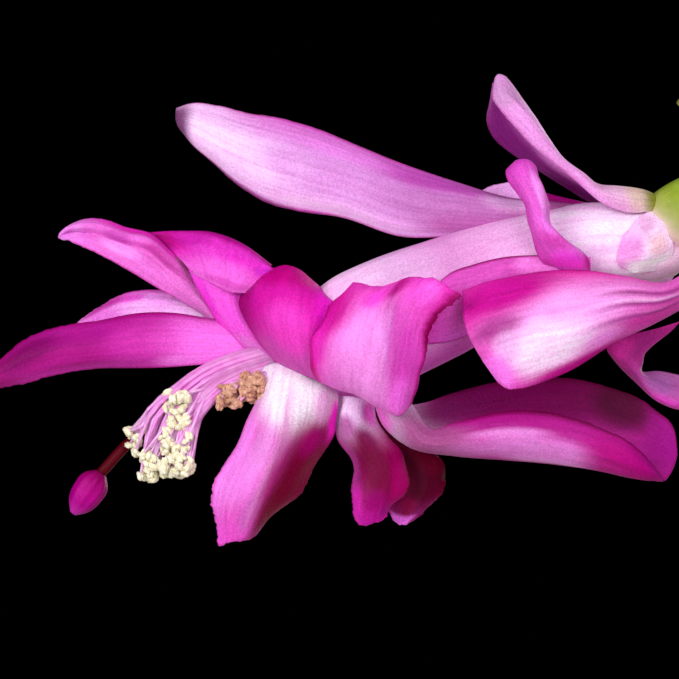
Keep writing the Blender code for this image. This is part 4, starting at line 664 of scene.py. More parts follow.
def heading(stations, t):
    """The direction of a curve through the stations, read at t."""
    ahead = spline(stations, np.minimum(t + 0.001, 1))[:, :3]
    behind = spline(stations, np.maximum(t - 0.001, 0))[:, :3]
    return unit(ahead - behind)


def grid_sheet(name, cols, rows):
    """A flat grid primitive, with the column and row of each of its points."""
    deselect_all()
    bpy.ops.mesh.primitive_grid_add(x_subdivisions=cols, y_subdivisions=rows, size=2, calc_uvs=True)
    obj = bpy.context.object
    obj.name = name
    points = points_of(obj.data)
    column = np.rint((points[:, 0] + 1) / 2 * cols).astype(int)
    row = np.rint((points[:, 1] + 1) / 2 * rows).astype(int)
    return obj, column, row


def placed(points, place):
    """Points in a part's own millimetres, taken to their place in metres."""
    turn = np.array(place.to_3x3())
    return (points @ turn.T + np.array(place.translation)) * MM


def close_seams(obj):
    """Merges the points that meet along a tube's seam and at its poles."""
    make_active(obj)
    bpy.ops.object.mode_set(mode="EDIT")
    bpy.ops.mesh.select_all(action="SELECT")
    bpy.ops.mesh.remove_doubles(threshold=0.000001)
    bpy.ops.object.mode_set(mode="OBJECT")


def toward(colours, tone, share):
    """Colours taken toward a tone by a share from 0 to 1."""
    return colours * (1 - share) + tone * share


def tones_along(tones, t):
    """The colours of a list of tones, read evenly at t from 0 to 1."""
    shades = np.array([to_linear(tone) for tone in tones])
    at = t * (len(tones) - 1)
    low = np.minimum(at.astype(int), len(tones) - 2)
    return toward(shades[low], shades[low + 1], (at - low)[:, None])


def give_flesh(obj, column, shares):
    """A vertex group that gives each column of a grid its share of the thickness."""
    flesh = obj.vertex_groups.new(name="flesh")
    for j, share in enumerate(shares):
        flesh.add([int(i) for i in np.nonzero(column == j)[0]], share, "REPLACE")
    return flesh


def grown_tube(name, stations, rows, sides, place, tones, open_ends=False, ribs=(0, 0.0), under=None):
    """A round body wrapped from a grid. Its stations are x, y, z and radius, its tones run along it, its
    ribs are a number and a depth, and under is the tone of its lower side."""
    obj, column, row = grid_sheet(name, sides, rows)
    t = np.linspace(0, 1, rows + 1)
    if not open_ends:
        t = np.concatenate([[0], np.linspace(0, 1, rows - 1), [1]])
    read = spline(stations, t)
    along = heading(stations, t)
    first = unit(np.cross(along, [0.0, 1.0, 0.0]))
    second = np.cross(along, first)
    radius = read[:, 3].copy()
    if not open_ends:
        radius[0] = radius[-1] = 0
    angle = 2 * math.pi * column / sides
    swell = 1 + ribs[1] * np.cos(ribs[0] * angle)
    out = np.cos(angle)[:, None] * first[row] + np.sin(angle)[:, None] * second[row]
    set_points(obj.data, placed(read[row, :3] + (radius[row] * swell)[:, None] * out, place))
    colours = tones_along(tones, t)[row]
    if under:
        low_side = smooth_step(0.35, 0.95, -out[:, 2]) * smooth_step(0.15, 0.35, t[row])
        colours = toward(colours, to_linear(under), low_side[:, None])
    paint(obj.data, colours)
    close_seams(obj)
    if place.determinant() < 0:
        obj.data.flip_normals()
    return obj


def hidden_net(across, tip, stations):
    """Guide points of a hidden tepal, in three columns, from the stations along its middle."""
    rows = np.array(stations, float)
    steps = np.linalg.norm(np.diff(rows[:, :3], axis=0), axis=1)
    knots = np.concatenate([[0], np.cumsum(steps)]) / steps.sum()
    t = np.interp(np.linspace(0, 1, HIDDEN_ROWS), np.linspace(0, 1, len(rows)), knots)
    read = spline(rows, t)
    along = heading(rows, t)
    given = np.tile(np.array(across, float), (len(t), 1))
    side = unit(given - (given * along).sum(axis=1, keepdims=True) * along)
    face = np.cross(side, along)
    past = np.clip((t - tip) / (1 - tip), 0, 1)
    width = read[:, 3] * np.sqrt(1 - past**2) + 0.1
    fold = np.radians(read[:, 4])
    out = (np.cos(fold) * width)[:, None] * side
    back = (np.sin(fold) * width)[:, None] * face
    return np.round(np.stack([read[:, :3] + v * out + abs(v) * back for v in (-1, 0, 1)], axis=1), 1)


def tube_front(x, z):
    """Depth at which a layer clears the tube's near side, at a place seen from the front."""
    rows = np.array(TUBE)
    fine = np.concatenate([a + (b - a) * np.linspace(0, 1, 20)[:, None] for a, b in zip(rows, rows[1:])])
    away = np.hypot(fine[:, 0] - x, fine[:, 2] - z)
    k = away.argmin()
    return fine[k, 1] - math.sqrt(max(fine[k, 3]**2 - away[k]**2, 0.5)) - LAYER_ROOM


def layer_net(rows):
    """Guide points of a tepal that lies on the tube."""
    places = np.array(rows, float).reshape(len(rows), -1, 3)
    return np.round([[(x, tube_front(x, z) + back, z) for x, z, back in row] for row in places], 1)


def tepal_net(name):
    if name in HIDDEN_TEPALS:
        return hidden_net(*HIDDEN_TEPALS[name])
    if name in TUBE_LAYERS:
        return layer_net(TUBE_LAYERS[name])
    return TEPAL_NETS[name]


def net_grid(name, net, t, v, ragged, seed):
    """Points of a tepal's middle surface, drawn smoothly through its rows of guide points, with the folds,
    ripples and torn edges that the guide points leave out."""
    net = np.array(net, float).reshape(len(net), -1, 3)
    middle = net[:, net.shape[1] // 2]
    lines = spline(np.hstack([middle, net.reshape(len(net), -1)]), t)[:, 3:].reshape(len(t), -1, 3)
    points = np.array([spline(line, (v + 1) / 2) for line in lines])
    along = unit(np.gradient(points, axis=0))
    across = unit(np.gradient(points, axis=1))
    face = unit(np.cross(along, across))
    half = np.linalg.norm(points[:, -1] - points[:, 0], axis=1)[:, None] / 2
    t = t[:, None]
    v = v[None, :]
    edge = np.abs(v)
    # the two margins don't ripple and tear alike
    hand = np.where(v < 0, 1.3, 0)
    depth, waves = RUFFLES.get(name, RUFFLE)
    ripple = depth * edge**2.5 * np.sin(2 * math.pi * waves * t + hand) * np.clip(2.2 * t - 0.5, 0, 1)
    flute = FLUTES.get(name, FLUTE_DEPTH) * np.cos(v * 9 + seed) * np.sin(math.pi * t) * (1 - edge**4)
    torn = ragged * half * smooth_step(0.45, 0.95, t) * edge**6 * wobble(t * 60 + 3 * hand, seed) * np.sign(v)
    frayed = ragged * half * smooth_step(0.94, 1.0, t) * wobble(v * 7, seed)
    return points + (ripple + flute)[..., None] * face + torn[..., None] * across + frayed[..., None] * along


def tepal_colours_and_painted_light(name, tones, t, v):
    """A tepal's colours: its base, its middle, its two margins and its tip, then the softer patches; these
    hold painted shade and painted highlights as well as the tissue's own colour.
    """
    base, centre, margin_left, margin_right, tip = [to_linear(tone) for tone in tones]
    t = t[:, None, None]
    v = v[None, :, None]
    edge = np.abs(v)
    margin = np.where(v < 0, margin_left, margin_right)
    colours = toward(base, centre, smooth_step(0.08, 0.5, t)) + np.zeros_like(v)
    colours = toward(colours, margin, edge**1.8 * smooth_step(0.02, 0.45, t))
    colours = toward(colours, tip, smooth_step(0.72, 1.0, t) * 0.8)
    for t_at, v_at, t_reach, v_reach, tone, strength in TEPAL_PATCHES_AND_PAINTED_LIGHT.get(name, []):
        away = np.hypot((t - t_at) / t_reach, (v - v_at) / v_reach)
        colours = toward(colours, to_linear(tone), strength * smooth_step(1.5, 0.5, away))
    rim = smooth_step(0.9, 1.0, edge) * smooth_step(0.1, 0.4, t)
    colours = colours * (1 - SOFT_RIMS.get(name, RIM_DEPTH) * rim * (1 - to_linear(RIM_TONE)))
    return colours ** DEEPEN


def blade(name, net, rows, cols, thickness, place, tones, ragged, seed):
    """A tepal: a grid laid over its guide points, thin at its margins, thickened by Solidify."""
    obj, column, row = grid_sheet(name, cols, rows)
    # rows lie closer together toward the tip, and columns toward the margins
    t = np.linspace(0, 1, rows + 1) ** 0.85
    v = np.sin(np.linspace(-1, 1, cols + 1) * math.pi / 2 * 0.9) / math.sin(math.pi / 2 * 0.9)
    points = net_grid(name, net, t, v, ragged, seed)[row, column]
    set_points(obj.data, placed(points, place))
    paint(obj.data, tepal_colours_and_painted_light(name, tones, t, v)[row, column])
    flesh = give_flesh(obj, column, 1 - MARGIN_THINNING * np.abs(v) ** 3)
    flesh.add([int(i) for i in np.nonzero(row == rows)[0]], TIP_FLESH, "REPLACE")
    apply_modifier(obj, "SOLIDIFY", thickness=thickness * MM, offset=0.0, vertex_group="flesh",
                   use_quality_normals=True)
    obj.vertex_groups.clear()
    return obj


# Leafy stems

# how far a segment's foot reaches into the one below
SEGMENT_REACH = 1.3
# a segment's columns from its midrib to a margin: share of the half width, and of the rib's thickness
SEGMENT_ACROSS = [0.0, 0.14, 0.4, 0.72, 1.0]
SEGMENT_FLESH = [1.0, 0.8, 0.62, 0.5, 0.3]
# the margin between two of the solid's corners: first corner, control point, last corner, steps
SEGMENT_CURVES = [
    ((0.0, 0.20), (0.13, 0.78), (0.42, 1.0), 8), ((0.42, 1.0), (0.425, 0.80), (0.48, 0.74), 3),
    ((0.48, 0.74), (0.60, 1.04), (0.77, 1.06), 7), ((0.77, 1.06), (0.765, 0.80), (0.82, 0.72), 3),
    ((0.82, 0.72), (0.93, 0.96), (1.085, 0.92), 6), ((1.085, 0.92), (0.99, 0.68), (0.985, 0.42), 4)]
# where the midrib ends, as a share of the length
RIB_END = 0.985
# waves of the margins and arch of the midrib
MARGIN_WAVE = 0.45
RIB_ARCH = 0.25
# where bristles stand, as shares of the length and of the half width, and how many in each place
AREOLES = [(0.47, 0.75), (0.81, 0.73), (1.0, 0.3)]
AREOLE_BRISTLES = 3
BRISTLE_LENGTH = 1.6
# the root from its foot up: height above the soil and radius
ROOT = [(-14, 2.2), (-4, 2.5), (3, 2.2), (8, 1.4)]
# height of the first segment's foot above the soil
FIRST_JOINT = 3.0
STEM_GREENS = ("#4E7A1C", "#6B9A26", "#8DB838")
STEM_RED = "#7A4A34"
STEM_CORK = "#7B5F42"
OVARY_TONES = ("#5F7F1C", "#688A1E", "#739022", "#7F9A24", "#86A026", "#8CA22A", "#90A22C", "#A8A854",
               "#F4BCD8")


def soil_height(radius):
    edge = POT_RIM_RADIUS - POT_WALL - 1.0
    return SOIL_EDGE + (SOIL_CROWN - SOIL_EDGE) * max(0.0, 1 - (radius / edge) ** 2)


def stem_foot(stem):
    angle = math.radians(stem.azimuth)
    reach = stem.distance
    return Vector((reach * math.cos(angle), reach * math.sin(angle), soil_height(reach)))


def segment_frame(joint, azimuth, tilt, twist, size):
    """A segment's joint, its direction, its width direction, its length and half width."""
    angle = math.radians(azimuth)
    lean = math.radians(tilt)
    along = Vector((math.sin(lean) * math.cos(angle), math.sin(lean) * math.sin(angle), math.cos(lean)))
    side = Vector((-math.sin(angle), math.cos(angle), 0))
    side.rotate(Matrix.Rotation(math.radians(twist), 3, along))
    return (joint.copy(), along, side, size[0], size[1])


def stem_frames(stem):
    """The frames of a stem's segments, and the end of the last one."""
    joint = stem_foot(stem) + Vector((0, 0, FIRST_JOINT))
    frames = []
    for i, (tilt, twist) in enumerate(zip(stem.tilts, stem.twists)):
        made = segment_frame(joint, stem.azimuth + i * stem.turn, tilt, twist, SEGMENT_SIZES[i])
        frames.append(made)
        joint = joint + made[1] * made[3]
    return frames, joint


def fork_frames(stem, frames):
    """The frames of the segments that leave a stem beside its own next segment."""
    if stem.fork is None:
        return []
    index, hand, tilts = stem.fork
    start, along, side, length, width = frames[index]
    joint = start + along * (length - FORK_DROP) + side * (hand * width * FORK_SEAT)
    azimuth = stem.azimuth + index * stem.turn + hand * FORK_SPREAD
    forked = []
    for tilt in tilts:
        made = segment_frame(joint, azimuth, tilt, hand * FORK_TWIST, FORK_SIZE)
        forked.append(made)
        joint = joint + made[1] * made[3]
    return forked


def segment_margin():
    """The margin's points, and the midrib point that each row of the segment starts from."""
    edge = []
    for first, control, last, steps in SEGMENT_CURVES:
        first, control, last = np.array(first), np.array(control), np.array(last)
        for s in np.arange(steps) / steps:
            edge.append(first * (1 - s)**2 + control * 2 * s * (1 - s) + last * s**2)
    edge.append(np.array(SEGMENT_CURVES[-1][2]))
    edge = np.array(edge)
    rib = np.maximum.accumulate(np.minimum(edge[:, 0] * 0.92, 0.95))
    rib[-1] = RIB_END
    return edge, rib


def segment_points(joint, along, side, length, width, across, seed):
    """A segment's middle surface in rows of points, and each point's share of the length."""
    edge, rib = segment_margin()
    out = np.abs(across)
    share = rib[:, None] * (1 - out) + edge[:, :1] * out
    # the two margins don't wave alike
    wave = MARGIN_WAVE * out**2 * wobble(share * 7 + np.where(across < 0, 2.0, 0), seed)
    wave += RIB_ARCH * np.sin(share * math.pi) * (1 - out)
    points = np.array(joint - along * SEGMENT_REACH)
    points = points + (share * (length + SEGMENT_REACH))[..., None] * np.array(along)
    points = points + (edge[:, 1:] * across * width)[..., None] * np.array(side)
    return points + wave[..., None] * np.array(side.cross(along)), share


def segment_tones(share, across, height, age, seed):
    """Green, darker on older segments, with red margins, and cork on the oldest where it meets the soil."""
    dark, middle, light = [to_linear(tone) for tone in STEM_GREENS]
    fresh = np.clip(share * 0.35 + (1 - age) * 0.75, 0, 1)[..., None]
    colours = toward(toward(dark, light, fresh), middle, 0.25)
    rim = np.abs(across)**6 * smooth_step(0.15, 0.4, share) * (0.35 + 0.3 * (1 - age))
    colours = toward(colours, to_linear(STEM_RED), rim[..., None])
    if age == 1:
        cork = 1 - smooth_step(1.0, 15.0 + 6 * wobble(share * 9, seed), height)
        colours = toward(colours, to_linear(STEM_CORK), cork[..., None])
    return colours


def leaf_segment(made, age, ground, seed):
    """One flat leafy segment with claws, a horn at each corner and a raised midrib; age is 1 at the foot."""
    half = np.array(SEGMENT_ACROSS)
    across = np.concatenate([-half[:0:-1], half])
    points, share = segment_points(*made, across, seed)
    obj, column, row = grid_sheet("segment", len(across) - 1, len(points) - 1)
    set_points(obj.data, points[row, column] * MM)
    colours = segment_tones(share, across, points[..., 2] - ground, age, seed)
    paint(obj.data, colours[row, column])
    give_flesh(obj, column, SEGMENT_FLESH[:0:-1] + SEGMENT_FLESH)
    apply_modifier(obj, "SOLIDIFY", thickness=RIB_THICKNESS * MM, offset=0.0, vertex_group="flesh")
    apply_modifier(obj, "SUBSURF", levels=1, render_levels=1)
    obj.vertex_groups.clear()
    return obj


def bristle():
    """One areole bristle, rooted at the origin."""
    deselect_all()
    bpy.ops.mesh.primitive_cone_add(vertices=4, radius1=0.09 * MM, radius2=0.02 * MM,
                                    depth=BRISTLE_LENGTH * MM, location=(0, 0, 0.7 * MM))
    obj = bpy.context.object
    obj.data.transform(obj.matrix_basis)
    obj.matrix_basis = Matrix()
    return obj


def bristle_place(spot, out, along, face):
    """A bristle at its spot, leaning out and ahead."""
    lean = (out * random.uniform(0.2, 1.0) + along * random.uniform(0.5, 1.2)
            + face * random.uniform(-0.6, 0.6)).normalized()
    turn = Vector((0, 0, 1)).rotation_difference(lean).to_matrix().to_4x4()
    return Matrix.Translation(spot * MM) @ turn @ Matrix.Scale(random.uniform(0.6, 1.15), 4)


def bristle_places(frames):
    places = []
    for joint, along, side, length, width in frames:
        base = joint - along * SEGMENT_REACH
        reach = length + SEGMENT_REACH
        for share, across in AREOLES:
            for hand in (-1, 1):
                spot = base + along * share * reach + side * hand * across * width
                for _ in range(AREOLE_BRISTLES):
                    places.append(bristle_place(spot, side * hand, along, side.cross(along)))
    return places


def make_stem(stem, skin, bristle_skin):
    """A stem with its root, its segments and the green ovary at its end, and its bristles."""
    frames, _ = stem_frames(stem)
    forked = fork_frames(stem, frames)
    foot = stem_foot(stem)
    root = [(foot.x, foot.y, foot.z + height, radius) for height, radius in ROOT]
    pieces = [grown_tube("root", root, 8, 10, Matrix(), (STEM_CORK, STEM_CORK), ribs=(5, 0.07))]
    last = max(len(frames) - 1, 1)
    for i, made in enumerate(frames):
        pieces.append(leaf_segment(made, 1 - i / last, foot.z, 1.7 * i + stem.azimuth))
    for i, made in enumerate(forked):
        pieces.append(leaf_segment(made, 0.2, foot.z, 2.9 * i + stem.azimuth))
    if stem.end == "bloom":
        pieces.append(grown_tube("ovary", OVARY, 20, 28, bloom_place(stem), OVARY_TONES, ribs=(5, 0.02)))
    if stem.end == "bud":
        pieces.append(grown_tube("ovary", BUD_OVARY, 10, 16, bud_place(stem), OVARY_TONES))
    finish_piece(join("leafy_" + stem.name, pieces), skin, "leafy_stem", stem.name)
    hairs = join("bristles_" + stem.name, copies(bristle(), bristle_places(frames + forked)))
    finish_piece(hairs, bristle_skin, "leafy_stem")


# Blooms

def bloom_place(stem):
    """Takes a bloom's own frame to the end of its stem."""
    tip = stem_frames(stem)[1]
    roll, size, mirrored = BLOOM_LOOKS[stem.name]
    facing = math.radians(stem.azimuth + stem.turn * (len(stem.tilts) - 1) - 180)
    turned = Matrix.Rotation(facing, 4, "Z") @ Matrix.Rotation(math.radians(roll), 4, "X")
    sized = Matrix.Diagonal((size, -size if mirrored else size, size, 1.0))
    return Matrix.Translation(tip) @ turned @ sized @ Matrix.Translation(-OVARY_FOOT)


def make_tepals(name, node, place, skin, large):
    """A bloom's tepals and tube, in two pieces: the front tier and the rear tier with the tube."""
    rows, cols = LARGE_BLADE if large else SMALL_BLADE
    tiers = {
        "front_tepals_": FRONT_TEPALS + (SMALL_FRONT_TEPALS if large else []),
        "rear_tepals_": REAR_TEPALS + (SMALL_REAR_TEPALS if large else [])}
    for tier, tepals in tiers.items():
        pieces = []
        for i, tepal in enumerate(tepals):
            if large or tepal not in LARGE_BLOOM_ONLY:
                pieces.append(blade(tepal, tepal_net(tepal), rows, cols, THIN.get(tepal, TEPAL_FLESH), place,
                                    TEPAL_TONES_AND_PAINTED_LIGHT[tepal], RAGGED.get(tepal, TORN), 1.3 * i + 0.7))
        if tier == "rear_tepals_":
            rings, sides = LARGE_TUBE if large else SMALL_TUBE
            tube = grown_tube("tube", TUBE, rings, sides, place, TUBE_TONES, open_ends=True, ribs=(7, 0.012),
                              under=TUBE_UNDER_TONE)
            apply_modifier(tube, "SOLIDIFY", thickness=TUBE_WALL * MM, offset=-1.0)
            pieces.append(tube)
        finish_piece(join(tier + name, pieces), skin, "petal", node)


def anther():
    """One anther: two swollen lobes side by side, split by a groove, about 1.6 mm long."""
    deselect_all()
    bpy.ops.mesh.primitive_ico_sphere_add(subdivisions=3, radius=1.0)
    obj = bpy.context.object
    points = points_of(obj.data)
    groove = 1 - 0.34 * np.exp(-(points[:, 0] / 0.24) ** 2)
    lumps = np.array([0.16 * noise.noise(Vector(p) * 2.3) + 0.17 * noise.noise(Vector(p) * 5.1)
                      for p in points])
    set_points(obj.data, points * (groove * (1 + lumps))[:, None] * np.array(ANTHER_SIZE) * MM)
    return obj


def filament_path(end, share, sway):
    """Along the bundle and down to an anther: share is how low in the bundle it lies. The bundle opens,
    comes forward and thins toward the anthers."""
    path = []
    for k, (top, low) in enumerate(zip(BUNDLE_TOP, BUNDLE_LOW)):
        x, z = toward(np.array(top), np.array(low), share)
        if k < 2 or x > end.x + 1.3:
            path.append((x, -0.8 - 0.45 * k + (0.5 + 0.16 * k) * sway, z, 0.40 - 0.035 * k))
    return path + [(*end, 0.13)]


def random_turn(tilts):
    """A turn about Z and a tilt about X."""
    turn = Matrix.Rotation(random.uniform(0, 6.3), 4, "Z")
    return turn @ Matrix.Rotation(random.uniform(*tilts), 4, "X")


def make_stamens(name, node, place, skins, large):
    """A bloom's filaments, its fresh cream anthers and its old ones, in three pieces."""
    filaments, grains = [], {"cream": [], "old": []}
    size = place.to_scale()[0] * (1.0 if large else SMALL_BLOOM_ANTHER)
    for tone, count, centre, spread, edges in STAMEN_CLUSTERS:
        for _ in range(count if large else max(2, count // SMALL_BLOOM_SHARE)):
            end = Vector([c + s * random.uniform(-1, 1) for c, s in zip(centre, spread)])
            path = filament_path(end, random.uniform(*edges), random.uniform(-1, 1))
            filaments.append(grown_tube("filament", path, 14, 6, place, FILAMENT_TONES))
            turn = random_turn((0, 3.1))
            grain = Matrix.Scale(random.uniform(0.72, 1.08) * size, 4)
            grains[tone].append(Matrix.Translation((place @ end) * MM) @ turn @ grain)
    finish_piece(join("filaments_" + name, filaments), skins["filament"], "stamen", node)
    for tone, places in grains.items():
        bunch = join(tone + "_anthers_" + name, copies(anther(), places))
        finish_piece(bunch, skins[tone], "stamen", node)


def make_pistil(name, node, place, skin):
    style = grown_tube("style", STYLE, 24, 10, place, STYLE_TONES)
    stigma = grown_tube("stigma", STIGMA, 26, 32, place, STIGMA_TONES, ribs=(8, 0.07))
    finish_piece(join("pistil_of_" + name, [style, stigma]), skin, "pistil", node)


# Buds

def bud_place(stem):
    """Takes a bud's own frame, pointing along +Z from its segment, to the end of its stem."""
    frames, tip = stem_frames(stem)
    _, along, side, _, _ = frames[-1]
    turn = Matrix((side.cross(along), side, along)).transposed().to_4x4()
    return Matrix.Translation(tip) @ turn


def bud_scale(turn, start, length):
    """Guide points of a small scale that hugs the bud."""
    angle = math.radians(turn)
    out = np.array([math.cos(angle), math.sin(angle), 0])
    side = np.array([-out[1], out[0], 0])
    net = []
    for s, away, width, fold in BUD_SCALE:
        wrap = math.radians(fold)
        middle = out * away + np.array([0, 0, start + length * s])
        back = out * math.sin(wrap) * width
        reach = side * math.cos(wrap) * width
        net.append((*(middle + reach - back), *middle, *(middle - reach - back)))
    return net


def make_bud(name, node, place, skin):
    pieces = [grown_tube("bud", BUD, 30, 28, place, BUD_TONES, ribs=(5, 0.05))]
    for turn, start, length in BUD_SCALES:
        pieces.append(blade("bud_scale", bud_scale(turn, start, length), 18, 10, BUD_SCALE_FLESH, place,
                            BUD_SCALE_TONES, 0.05, turn))
    finish_piece(join("closed_" + name, pieces), skin, "bud", node)


# Pot and potting mix

POT_STEPS = 112
# outer wall, rim and inner wall of the pot as radius and height, with its soft thrown edges
POT_PROFILE = [
    (0, 0.8), (12.0, 0.8), (34.0, 0.5), (38.0, 0), (41.5, 0), (42.6, 0.5), (43.1, 1.6), (44.6, 10.0),
    (46.6, 22.0), (49.2, 36.5), (51.8, 51.0), (54.2, 65.0), (56.4, 78.0), (58.2, 88.6), (58.7, 90.4),
    (59.6, 91.1), (63.6, 91.2), (64.5, 91.7), (64.9, 92.8), (64.8, 99.0), (64.9, 106.0), (64.9, 112.6),
    (64.4, 114.2), (63.3, 114.9), (61.6, 114.9), (60.5, 114.5), (60.0, 113.4), (59.0, 108.0), (57.6, 100.0),
    (54.0, 83.0), (48.6, 57.0), (43.0, 31.0), (39.0, 12.0), (37.6, 8.0), (35.0, 6.6), (18.0, 6.5), (0, 6.5)]
# depth of the throwing rings and of the dents, and how far the wall is drawn in to make room for them
RING_DEPTH = 0.07
DENT_DEPTH = 0.22
WALL_INSET = 0.12
# the foot, this high, stays even
FOOT_HEIGHT = 3
SOIL_STEPS = 120
SOIL_SIDE_GAP = 0.8
# rings of the soil's top, so that its lumps can rise, and the distance between them
SOIL_RINGS = 36
RING_STEP = 57.5 / SOIL_RINGS
# how far from the middle grains lie
GRAIN_REACH = 56.0
# each kind of grain: its proportions, the seed of its roughness, how many, their sizes, room round a root
GRAINS = [("peat_crumbs", (1.0, 0.8, 0.6), 1.0, 420, (1.2, 3.4), 2.6),
          ("bark_chips", (1.5, 0.8, 0.35), 5.0, 84, (2.4, 5.2), 4.6),
          ("perlite_grains", (1.0, 0.9, 0.85), 9.0, 60, (1.6, 3.4), 3.4)]


def inner_radius(height):
    """Radius of the pot's inside, where the wall ends 1.4 mm below its rounded lip."""
    low = POT_BASE_RADIUS - POT_WALL
    high = POT_RIM_RADIUS - POT_WALL
    return low + (high - low) * (height - POT_FLOOR) / (POT_HEIGHT - 1.4 - POT_FLOOR)


def spun(name, profile, steps):
    """A profile of radius and height, drawn as edges and spun once round Z, its seam and poles closed."""
    points = [(radius * MM, 0, height * MM) for radius, height in profile]
    mesh = bpy.data.meshes.new(name)
    mesh.from_pydata(points, [(i, i + 1) for i in range(len(points) - 1)], [])
    obj = bpy.data.objects.new(name, mesh)
    bpy.context.scene.collection.objects.link(obj)
    make_active(obj)
    bpy.ops.object.mode_set(mode="EDIT")
    bpy.ops.mesh.select_all(action="SELECT")
    bpy.ops.mesh.spin(steps=steps, angle=2 * math.pi, center=(0, 0, 0), axis=(0, 0, 1))
    bpy.ops.mesh.select_all(action="SELECT")
    bpy.ops.mesh.remove_doubles(threshold=0.00001)
    bpy.ops.mesh.normals_make_consistent(inside=False)
    bpy.ops.object.mode_set(mode="OBJECT")
    return obj


def cut_drains(pot):
    """Four holes through the pot's floor."""
    drains = []
    for i in range(4):
        angle = math.pi / 4 + i * math.pi / 2
        x, y = DRAIN_CIRCLE * MM * math.cos(angle), DRAIN_CIRCLE * MM * math.sin(angle)
        deselect_all()
        bpy.ops.mesh.primitive_cylinder_add(vertices=32, radius=DRAIN_RADIUS * MM, depth=30 * MM,
                                            location=(x, y, 3 * MM))
        drains.append(bpy.context.object)
    cutters = join("drains", drains)
    apply_modifier(pot, "BOOLEAN", operation="DIFFERENCE", object=cutters, solver="EXACT")
    bpy.data.objects.remove(cutters, do_unlink=True)


def make_pot(clay):
    pot = spun("clay_pot", POT_PROFILE, POT_STEPS)
    points = points_of(pot.data)
    radius = np.hypot(points[:, 0], points[:, 1])
    height = points[:, 2]
    above_foot = height > FOOT_HEIGHT * MM
    rings = RING_DEPTH * np.sin(height / MM * 2.1) * (radius > 42 * MM) * above_foot
    dents = DENT_DEPTH * np.array([noise.noise(Vector(p) * 45) for p in points]) * above_foot
    shift = (rings + dents - WALL_INSET) * MM / np.maximum(radius, 1 * MM)
    points[:, :2] *= np.where(radius > 1 * MM, 1 + shift, 1.0)[:, None]
    set_points(pot.data, points)
    cut_drains(pot)
    finish_piece(pot, clay, "fired_clay", "pot")
    make_active(pot)
    bpy.ops.object.shade_smooth_by_angle(angle=math.radians(50))


def soil_top(x, y):
    """Height of the lumpy surface of the mix, in millimetres."""
    spot = Vector((x, y, 0.0))
    lumps = 0.9 * noise.noise(spot * 0.11) + 0.7 * noise.noise(spot * 0.35) + 0.35 * noise.noise(spot * 0.9)
    return soil_height(math.hypot(x, y)) + lumps - 0.15


def crumb(stretch, seed):
    """One rough grain about 1 mm across."""
    deselect_all()
    bpy.ops.mesh.primitive_ico_sphere_add(subdivisions=2, radius=0.5)
    obj = bpy.context.object
    points = points_of(obj.data)
    rough = np.array([1 + 0.5 * noise.noise(Vector(p) * 2.6 + Vector((seed, 0, 0))) for p in points])
    set_points(obj.data, points * rough[:, None] * np.array(stretch) * MM)
    return obj


def scattered(count, sizes, clear):
    """Places on the mix, clear of the stems' feet."""
    feet = [stem_foot(stem) for stem in STEMS]
    places = []
    while len(places) < count:
        angle = random.uniform(0, 2 * math.pi)
        reach = math.sqrt(random.random()) * GRAIN_REACH
        x, y = reach * math.cos(angle), reach * math.sin(angle)
        if min(math.hypot(x - foot.x, y - foot.y) for foot in feet) < clear:
            continue
        size = random.uniform(*sizes)
        turn = random_turn((-0.7, 0.7))
        spot = Vector((x, y, soil_top(x, y) + 0.12 * size)) * MM
        places.append(Matrix.Translation(spot) @ turn @ Matrix.Scale(size, 4))
    return places


def make_soil(mix, bark, perlite):
    low = POT_FLOOR + SOIL_GAP
    edge = inner_radius(SOIL_EDGE) - SOIL_SIDE_GAP
    profile = [(0, low), (20, low)]
    profile += [(inner_radius(height) - SOIL_SIDE_GAP, height) for height in (low, 30.0, 55.0, 80.0)]
    profile += [(edge - RING_STEP * i, SOIL_EDGE) for i in range(SOIL_RINGS + 1)] + [(0, SOIL_CROWN)]
    soil = spun("peat_mix", profile, SOIL_STEPS)
    points = points_of(soil.data)
    for i in np.nonzero(points[:, 2] > (SOIL_EDGE - 1) * MM)[0]:
        points[i, 2] = soil_top(points[i, 0] / MM, points[i, 1] / MM) * MM
    set_points(soil.data, points)
    finish_piece(soil, mix, "potting_mix", "soil")
    for (name, stretch, seed, count, sizes, clear), skin in zip(GRAINS, (mix, bark, perlite)):
        grains = copies(crumb(stretch, seed), scattered(count, sizes, clear))
        finish_piece(join(name, grains), skin, "potting_mix")


# Materials

def plug(tree, node, sockets):
    """Fills a node's sockets, each with a number, a colour or another node's output."""
    for key, value in sockets.items():
        if isinstance(value, bpy.types.NodeSocket):
            tree.links.new(value, node.inputs[key])
        else:
            node.inputs[key].default_value = value


def add(tree, kind, sockets=None, out=0, **settings):
    """Adds a node with its settings and links, and gives back its output."""
    node = tree.nodes.new("ShaderNode" + kind)
    for key, value in settings.items():
        setattr(node, key, value)
    plug(tree, node, sockets or {})
    return node.outputs[out]


def start(name, constants):
    """A material with its constants on the Principled shader's own sockets, and Object coordinates."""
    mat = bpy.data.materials.new(name)
    mat.use_nodes = True
    tree = mat.node_tree
    shader = tree.nodes["Principled BSDF"]
    plug(tree, shader, constants)
    return mat, tree, shader, add(tree, "TexCoord", out="Object")


def rgba(hex_colour):
    return (*to_linear(hex_colour), 1.0)


def every(size):
    """A pattern's scale, from the real size of its grain in millimetres."""
    return 1 / (size * MM)


def washed(tree, colour, tone, pattern, reach, strength=1.0, kind="MULTIPLY"):
    """A colour washed with a tone, more strongly the further a pattern runs from one end of its reach to
    the other. Mix keeps its two colours in sockets 6 and 7, and its result in output 2."""
    share = add(tree, "MapRange", {"Value": pattern, "From Min": reach[0], "From Max": reach[1],
                                   "To Max": strength})
    return add(tree, "Mix", {0: share, 6: colour, 7: rgba(tone)}, out=2, data_type="RGBA", blend_type=kind,
               clamp_result=True)


